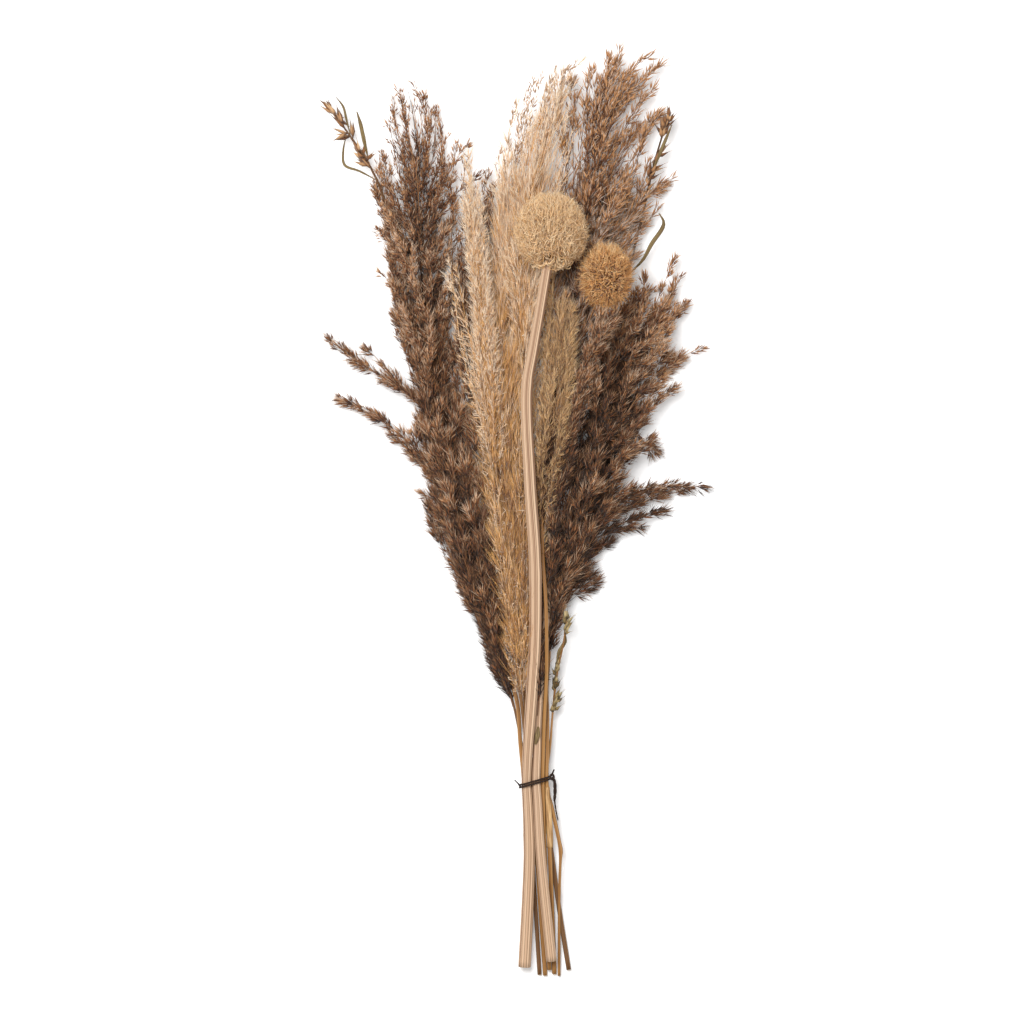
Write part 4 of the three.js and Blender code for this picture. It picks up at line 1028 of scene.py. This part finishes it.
silky_plume("pampas_plume_right", "22.2 -30 36 6 5, 25 26 41 14 10, 33 74.6 49 14 10, 39 127 54 12 8, 45 178 54 5 4",
    seed=71, branches=34, reach=(60, 110), per_mm=0.75, spread=2.0, length=(8, 14), flecks=1500, pale=(0.3, 0.85),
    finish=golden_hair, slot="golden_plume", wisps="""
22 40 44, 25 85 50, 29 130 56, 33 172 60
20 0 40, 22 40 46, 26 90 52
24 -36 36, 30 10 42, 38 60 48, 44 100 52
22 -60 34, 25 -20 38, 28 20 42, 30 60 46
28 140 54, 32 172 56, 36 198 54
24 110 52, 29 150 56, 33 185 57""")

# %% [markdown]
# ## The two seed heads
# Each head is a ball of curly strands. On the large one, fine strands wrap the ball from the stem towards the
# tip like felt, and coarse loops crowd round the stem. On the small one the curls are thicker, more orange
# and stand out. A strand is drawn in the ball's own directions: how far from the stem's end, and which side.

# %% One seed head
def on_ball(centre, half, pole, side, out):
    """Places on a ball: pole is the angle from the stem's end, side the turn about the +Y axis."""
    spots = np.stack([np.sin(pole) * np.cos(side), -np.cos(pole), np.sin(pole) * np.sin(side)], axis=-1)
    return centre + spots * half * out[..., None]


def seed_head(node, centre, half, finish, slot, seed, felt, bare, arcs, curls, crowded, stand, length, thick, loops):
    rng = np.random.default_rng(seed)
    centre = (np.array(centre) + SHIFT) * MM
    half = np.array(half) * MM
    ball = bmesh.new()
    bmesh.ops.create_icosphere(ball, subdivisions=4, radius=1.0)
    for vert in ball.verts:
        bumps = 0.03 * math.sin(11 * vert.co.x) * math.sin(9 * vert.co.y) * math.sin(10 * vert.co.z)
        vert.co = centre + np.array(vert.co) * half * (0.76 + bumps)
    # The dark core is painted shade between the curls.
    keep(put_shape(f"{node}_core", ball), head_shade_core, slot, node)

    def rooted(pole, deepest):
        """Roots round the ball, a little under its outside, and the way out from each."""
        side = rng.uniform(0, 2 * math.pi, len(pole))
        root = on_ball(centre, half, pole, side, rng.uniform(deepest, 0.88, len(pole)))
        return side, root, unit(root - centre)

    pole = np.arccos(np.cos(bare) - rng.random(felt) * (np.cos(bare) + 0.99))
    side, root, out = rooted(pole, 0.72)
    north = np.array([0.0, 1.0, 0.0]) - out * out[:, 1:2]
    ahead = unit(out * stand + north * 0.5 + rng.normal(0, 0.42, out.shape))[:, None]
    span = rng.uniform(*length, felt)[:, None, None] * MM
    bend = rng.normal(0, 0.16, (felt, 1, 3)) * span
    s = bent_hair.heights[:, None]
    lines = root[:, None] + span * s * ahead + bend * 4 * s * (1 - s)
    clumps = 0.16 * np.sin(9 * pole + 3 * side) * np.sin(7 * side)
    # Painted shade: the felt is darker towards the stem, where the ball shades it.
    shades = 0.18 + 0.18 * pole + clumps + rng.uniform(-0.45, 0.45, felt)
    keep_strands(rng, node, "felt", bent_hair, lines, thick, shades, finish, slot)

    s = curl.heights
    pole = rng.uniform(0.7, 2.6, arcs)
    side = rng.uniform(0, 2 * math.pi, arcs)
    step = rng.uniform(0.3, 0.6, arcs)
    drift = rng.normal(0, 0.3, arcs)
    lines = on_ball(centre, half, pole[:, None] + step[:, None] * s, side[:, None] + drift[:, None] * s**2,
                    0.9 + rng.uniform(0.04, 0.16, (arcs, 1)) * np.sin(s * 2.4))
    shades = rng.uniform(0.4, 1.0, arcs)
    keep_strands(rng, node, "arcs", curl, lines, (0.35, 0.6), shades, finish, slot)

    pole = np.arccos(1 - rng.random(curls) ** 1.2 * crowded)
    _, root, out = rooted(pole, 0.76)
    first = sideways(rng, out)
    loop = rng.uniform(*loops, curls)[:, None, None] * MM
    angle = (rng.uniform(2.2, 4.4, curls)[:, None] * s)[..., None]
    rise = rng.uniform(1.0, 5.0, curls)[:, None, None] * MM
    lines = (root[:, None] + out[:, None] * (loop * np.sin(angle) + rise * s[:, None])
             + first[:, None] * loop * (1 - np.cos(angle)))
    shades = rng.uniform(0.3, 1.0, curls)
    keep_strands(rng, node, "curls", curl, lines, (0.5, 1.0), shades, finish, slot)


# %% The two heads
seed_head("seed_head_large", [31.9, 224.8, 77], [27.5, 31, 27], large_curl, "large_head", seed=83,
          felt=7500, bare=0.8, arcs=1200, curls=1000, crowded=1.0, stand=0.6, length=(6, 12), thick=(0.32, 0.62),
          loops=(1.6, 3.8))
seed_head("seed_head_small", [76.3, 190, 64], [18.5, 24.5, 18.5], small_curl, "small_head", seed=97,
          felt=3000, bare=0.3, arcs=150, curls=850, crowded=1.9, stand=1.3, length=(6, 12), thick=(0.35, 0.7),
          loops=(1.2, 2.8))

# %% [markdown]
# ## The oat-like sprays
# Three slim sprays stand at the edges of the bundle, each grown in one with its narrow leaves. Their husks are
# longer and paler than the reed's, and each ends in a fine bristle.

# %% Oat sprays
BRISTLE_LENGTH = 7 * MM
# The finishes, the stem, the leaves by width, and the clusters: from, to, how many husks and how long.
OATS = {
    "oat_spray_left": (brown_straw, oat_husk, """
16.9 -230 11.4 1, 16.6 -217.5 11.6 1, 8.3 -187 9.8 1, 0 -149 9.2 1, -11 -120 6 1, -33 -71 4 1, -50 10 3.4 1,
-66 91 3.4 1, -82 171 4.4 1, -94 225 8 1, -107 264.3 14 1, -117.4 285.2 17 0.9, -133.6 308.7 19 0.8,
-146 326 20 0.6""",
        {3.4: way("-116 287 17, -119 300 21, -122 314 23, -125 324 23"),
         2.2: way("-108 268 14.5, -123 276 15, -135 281 14, -136 293 14, -134 303 15"),
         2.0: way("-130 304 18.6, -133.5 318 15, -136 328 14, -142 336 13")},
        way("-128 302 18.8 -145 325 20.5 14 15, -113 277 16.4 -122 290 18 10 14")),
    "oat_spray_right": (dark_twig, oat_husk, """
19.8 -240 11 1, 19.6 -217.5 11.4 1, 20.8 -187 9.4 1, 23 -123 5 1, 26.5 -38 3 1, 33.5 26 3 1, 41 74.6 3 1,
57 112 3 1, 76 150 4 1, 92 187 10 1, 100 217 13 1, 107 245 15 0.9, 114.5 279 19 0.9, 122 305 21 0.8,
128 324 22 0.6""",
        {3.6: way("94 192 11.5, 106 204 15, 113.5 217.5 17, 122 230 18, 123 235 18.5, 119 242 19"),
         3.0: way("114 276 19, 118 286 23, 124 300 25, 129.5 313 25")},
        way("110 268 18 118 290 21 9 12, 121 302 21 127 318 22.5 10 11, 104 248 16 110 264 18 6 10")),
    "oat_spray_low": (ochre_straw, olive_husk, """
38.5 -375 3 1.3, 38.6 -317 8 1.1, 39.6 -280 11 1.3, 39.9 -274 11.4 2, 38.6 -266 11.6 1.6, 33 -240 13 1.7,
28.3 -217.5 14.1 1.2, 31.4 -187 13.4 1, 33 -165 13.4 0.9, 34.8 -146 13.6 0.9, 38 -124 17 0.8,
41.5 -108 22.5 0.7, 44.5 -88 27 0.6""",
        {3.4: way("36.4 -124 16.8, 38.4 -113 19, 43.2 -104 20, 42.8 -96 22"),
         4.4: way("21.6 -173 25, 20.8 -180 24.9, 19.4 -187 24.6")},
        way("""
42.5 -98 24.5 44.5 -86 27 8 9, 35.6 -132 15 37 -124 17 6 8, 34.8 -145 13.8 35.6 -138 14.4 6 8,
33.4 -162 13.5 36 -150 13.7 8 8""")),
}


def leaf(name, route, width):
    """A thin arched leaf with a raised midrib, narrow at both ends."""
    last = len(route) - 1
    shaped = [[*point, max(width / 2 * math.sin(math.pi * (i + 0.3) / (last + 0.6)), 0.3), 0.35]
              for i, point in enumerate(route)]
    return tube(name, smooth_line(shaped, 60), 12, 24, lambda u, turn: 1 + 0.7 * np.cos(turn) ** 12)


rng = np.random.default_rng(17)
for name, (straw, husk, stem, leaves, clusters) in OATS.items():
    keep(tube(f"{name}_stem", smooth_line(stem), 10, 90), straw, "oat_spray", name)
    for i, (width, route) in enumerate(leaves.items()):
        keep(leaf(f"{name}_leaf_{i + 1}", route, width), dry_leaf, "oat_spray", name)
    husks, bristles = [], []
    for *ends, count, size in clusters:
        start, end = (np.reshape(ends, (2, 3)) + SHIFT) * MM
        root = start + (end - start) * np.linspace(0, 1, int(count))[:, None]
        ahead = unit(unit(end - start) + rng.normal(0, 0.42, root.shape))
        for _ in range(2):
            turned = unit(ahead + rng.normal(0, 0.18, root.shape))
            husks.append(root[:, None] + size * MM * bract.heights[:, None] * turned[:, None])
            tip = root + turned * size * 0.9 * MM
            bristles.append(tip[:, None] + BRISTLE_LENGTH * hair.heights[:, None] * turned[:, None])
    keep_strands(rng, name, "husks", bract, np.concatenate(husks), (3.4, 5.6), (0, 1), husk, "oat_spray")
    keep_strands(rng, name, "bristles", hair, np.concatenate(bristles), 0.4, (0, 1), husk, "oat_spray")

# %% [markdown]
# ## The tie
# Two strands of dark cord go once round all the stems, side by side, and end in a small knot at the right. One
# end hangs below it, and two short ones stick out. The cord is taut, so its path is the outline of the stems.

# %% The tie's path
TIE_Y = -217.5
TIE_SLANT = 0.28
CORD_HALF, CORD_GAP = 0.72, 1.55
SEATS = [
    (12.1, 19.6, 4.0), (20.0, 20.2, 3.5), (9.9, 13.6, 1.7), (13.8, 13.6, 1.4), (17.3, 14.8, 1.5),
    (20.9, 14.6, 1.4), (24.7, 15.0, 1.8), (25.4, 19.2, 1.6), (28.5, 17.2, 1.6), (28.3, 14.1, 1.0),
    (16.6, 11.6, 1.0), (19.6, 11.4, 1.0),
]


def tie_path(aside):
    """A taut ring round the stems, in the tie's slanting plane."""
    points = []
    for turn in np.linspace(0, 2 * math.pi, 40):
        dx, dz = math.cos(turn), math.sin(turn)
        x, z, size = max(SEATS, key=lambda seat: seat[0] * dx + seat[1] * dz + seat[2])
        x, z = x + dx * (size + CORD_GAP), z + dz * (size + CORD_GAP)
        points.append([x, TIE_Y + (x - 20.0) * TIE_SLANT + aside, z, CORD_HALF, CORD_HALF])
    return points


def twisted(u, turn):
    return 1 + 0.12 * np.cos(2 * turn + 2 * math.pi * 34 * u)


for i, aside in enumerate((-1.0, 1.0)):
    keep(tube(f"tie_strand_{i + 1}", smooth_line(tie_path(aside), 240), 10, 200, twisted), tie_cord, "tie", "tie")

# %% Knot and loose ends
# The knot's two loops, the hanging end in two parts, and the two short ends.
KNOT_CORDS = [
"""
30.6 -214.6 20.2 0.8, 32.2 -215.4 20.4 0.8, 33.8 -214.2 19.4 0.8, 33.6 -212.2 18.4 0.8, 31.9 -211.9 18.8 0.8,
31.2 -213.6 20.3 0.8, 32.6 -214.9 20.6 0.8""",
"""
31.2 -212.6 17.2 0.8, 32.6 -211.6 17.8 0.8, 34.2 -212.9 18.4 0.8, 33.9 -215.2 18.6 0.8, 32.2 -215.8 18.2 0.8""",
"32.5 -214 18.6 0.9, 34.6 -217 18 1.3, 35.2 -225 16 1.4, 34.7 -233 14.4 1",
"34.6 -231 14.8 0.7, 35.8 -240 14.2 0.55, 37.6 -249 13.8 0.45",
"32.4 -213 18 0.8, 33.6 -209.6 18.2 0.7, 34.6 -207.6 18 0.5",
"7 -221.2 20 0.8, 5.4 -219 21.4 0.6, 2.4 -216 22 0.4",
]
for i, route in enumerate(KNOT_CORDS):
    keep(tube(f"tie_cord_{i + 1}", smooth_line(route, 60), 10, 30, twisted), tie_cord, "tie", "tie")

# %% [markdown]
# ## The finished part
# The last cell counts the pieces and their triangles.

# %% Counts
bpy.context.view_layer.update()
print("pieces:", len(triangles), "triangles:", sum(triangles.values()), "largest:", max(triangles.values()))
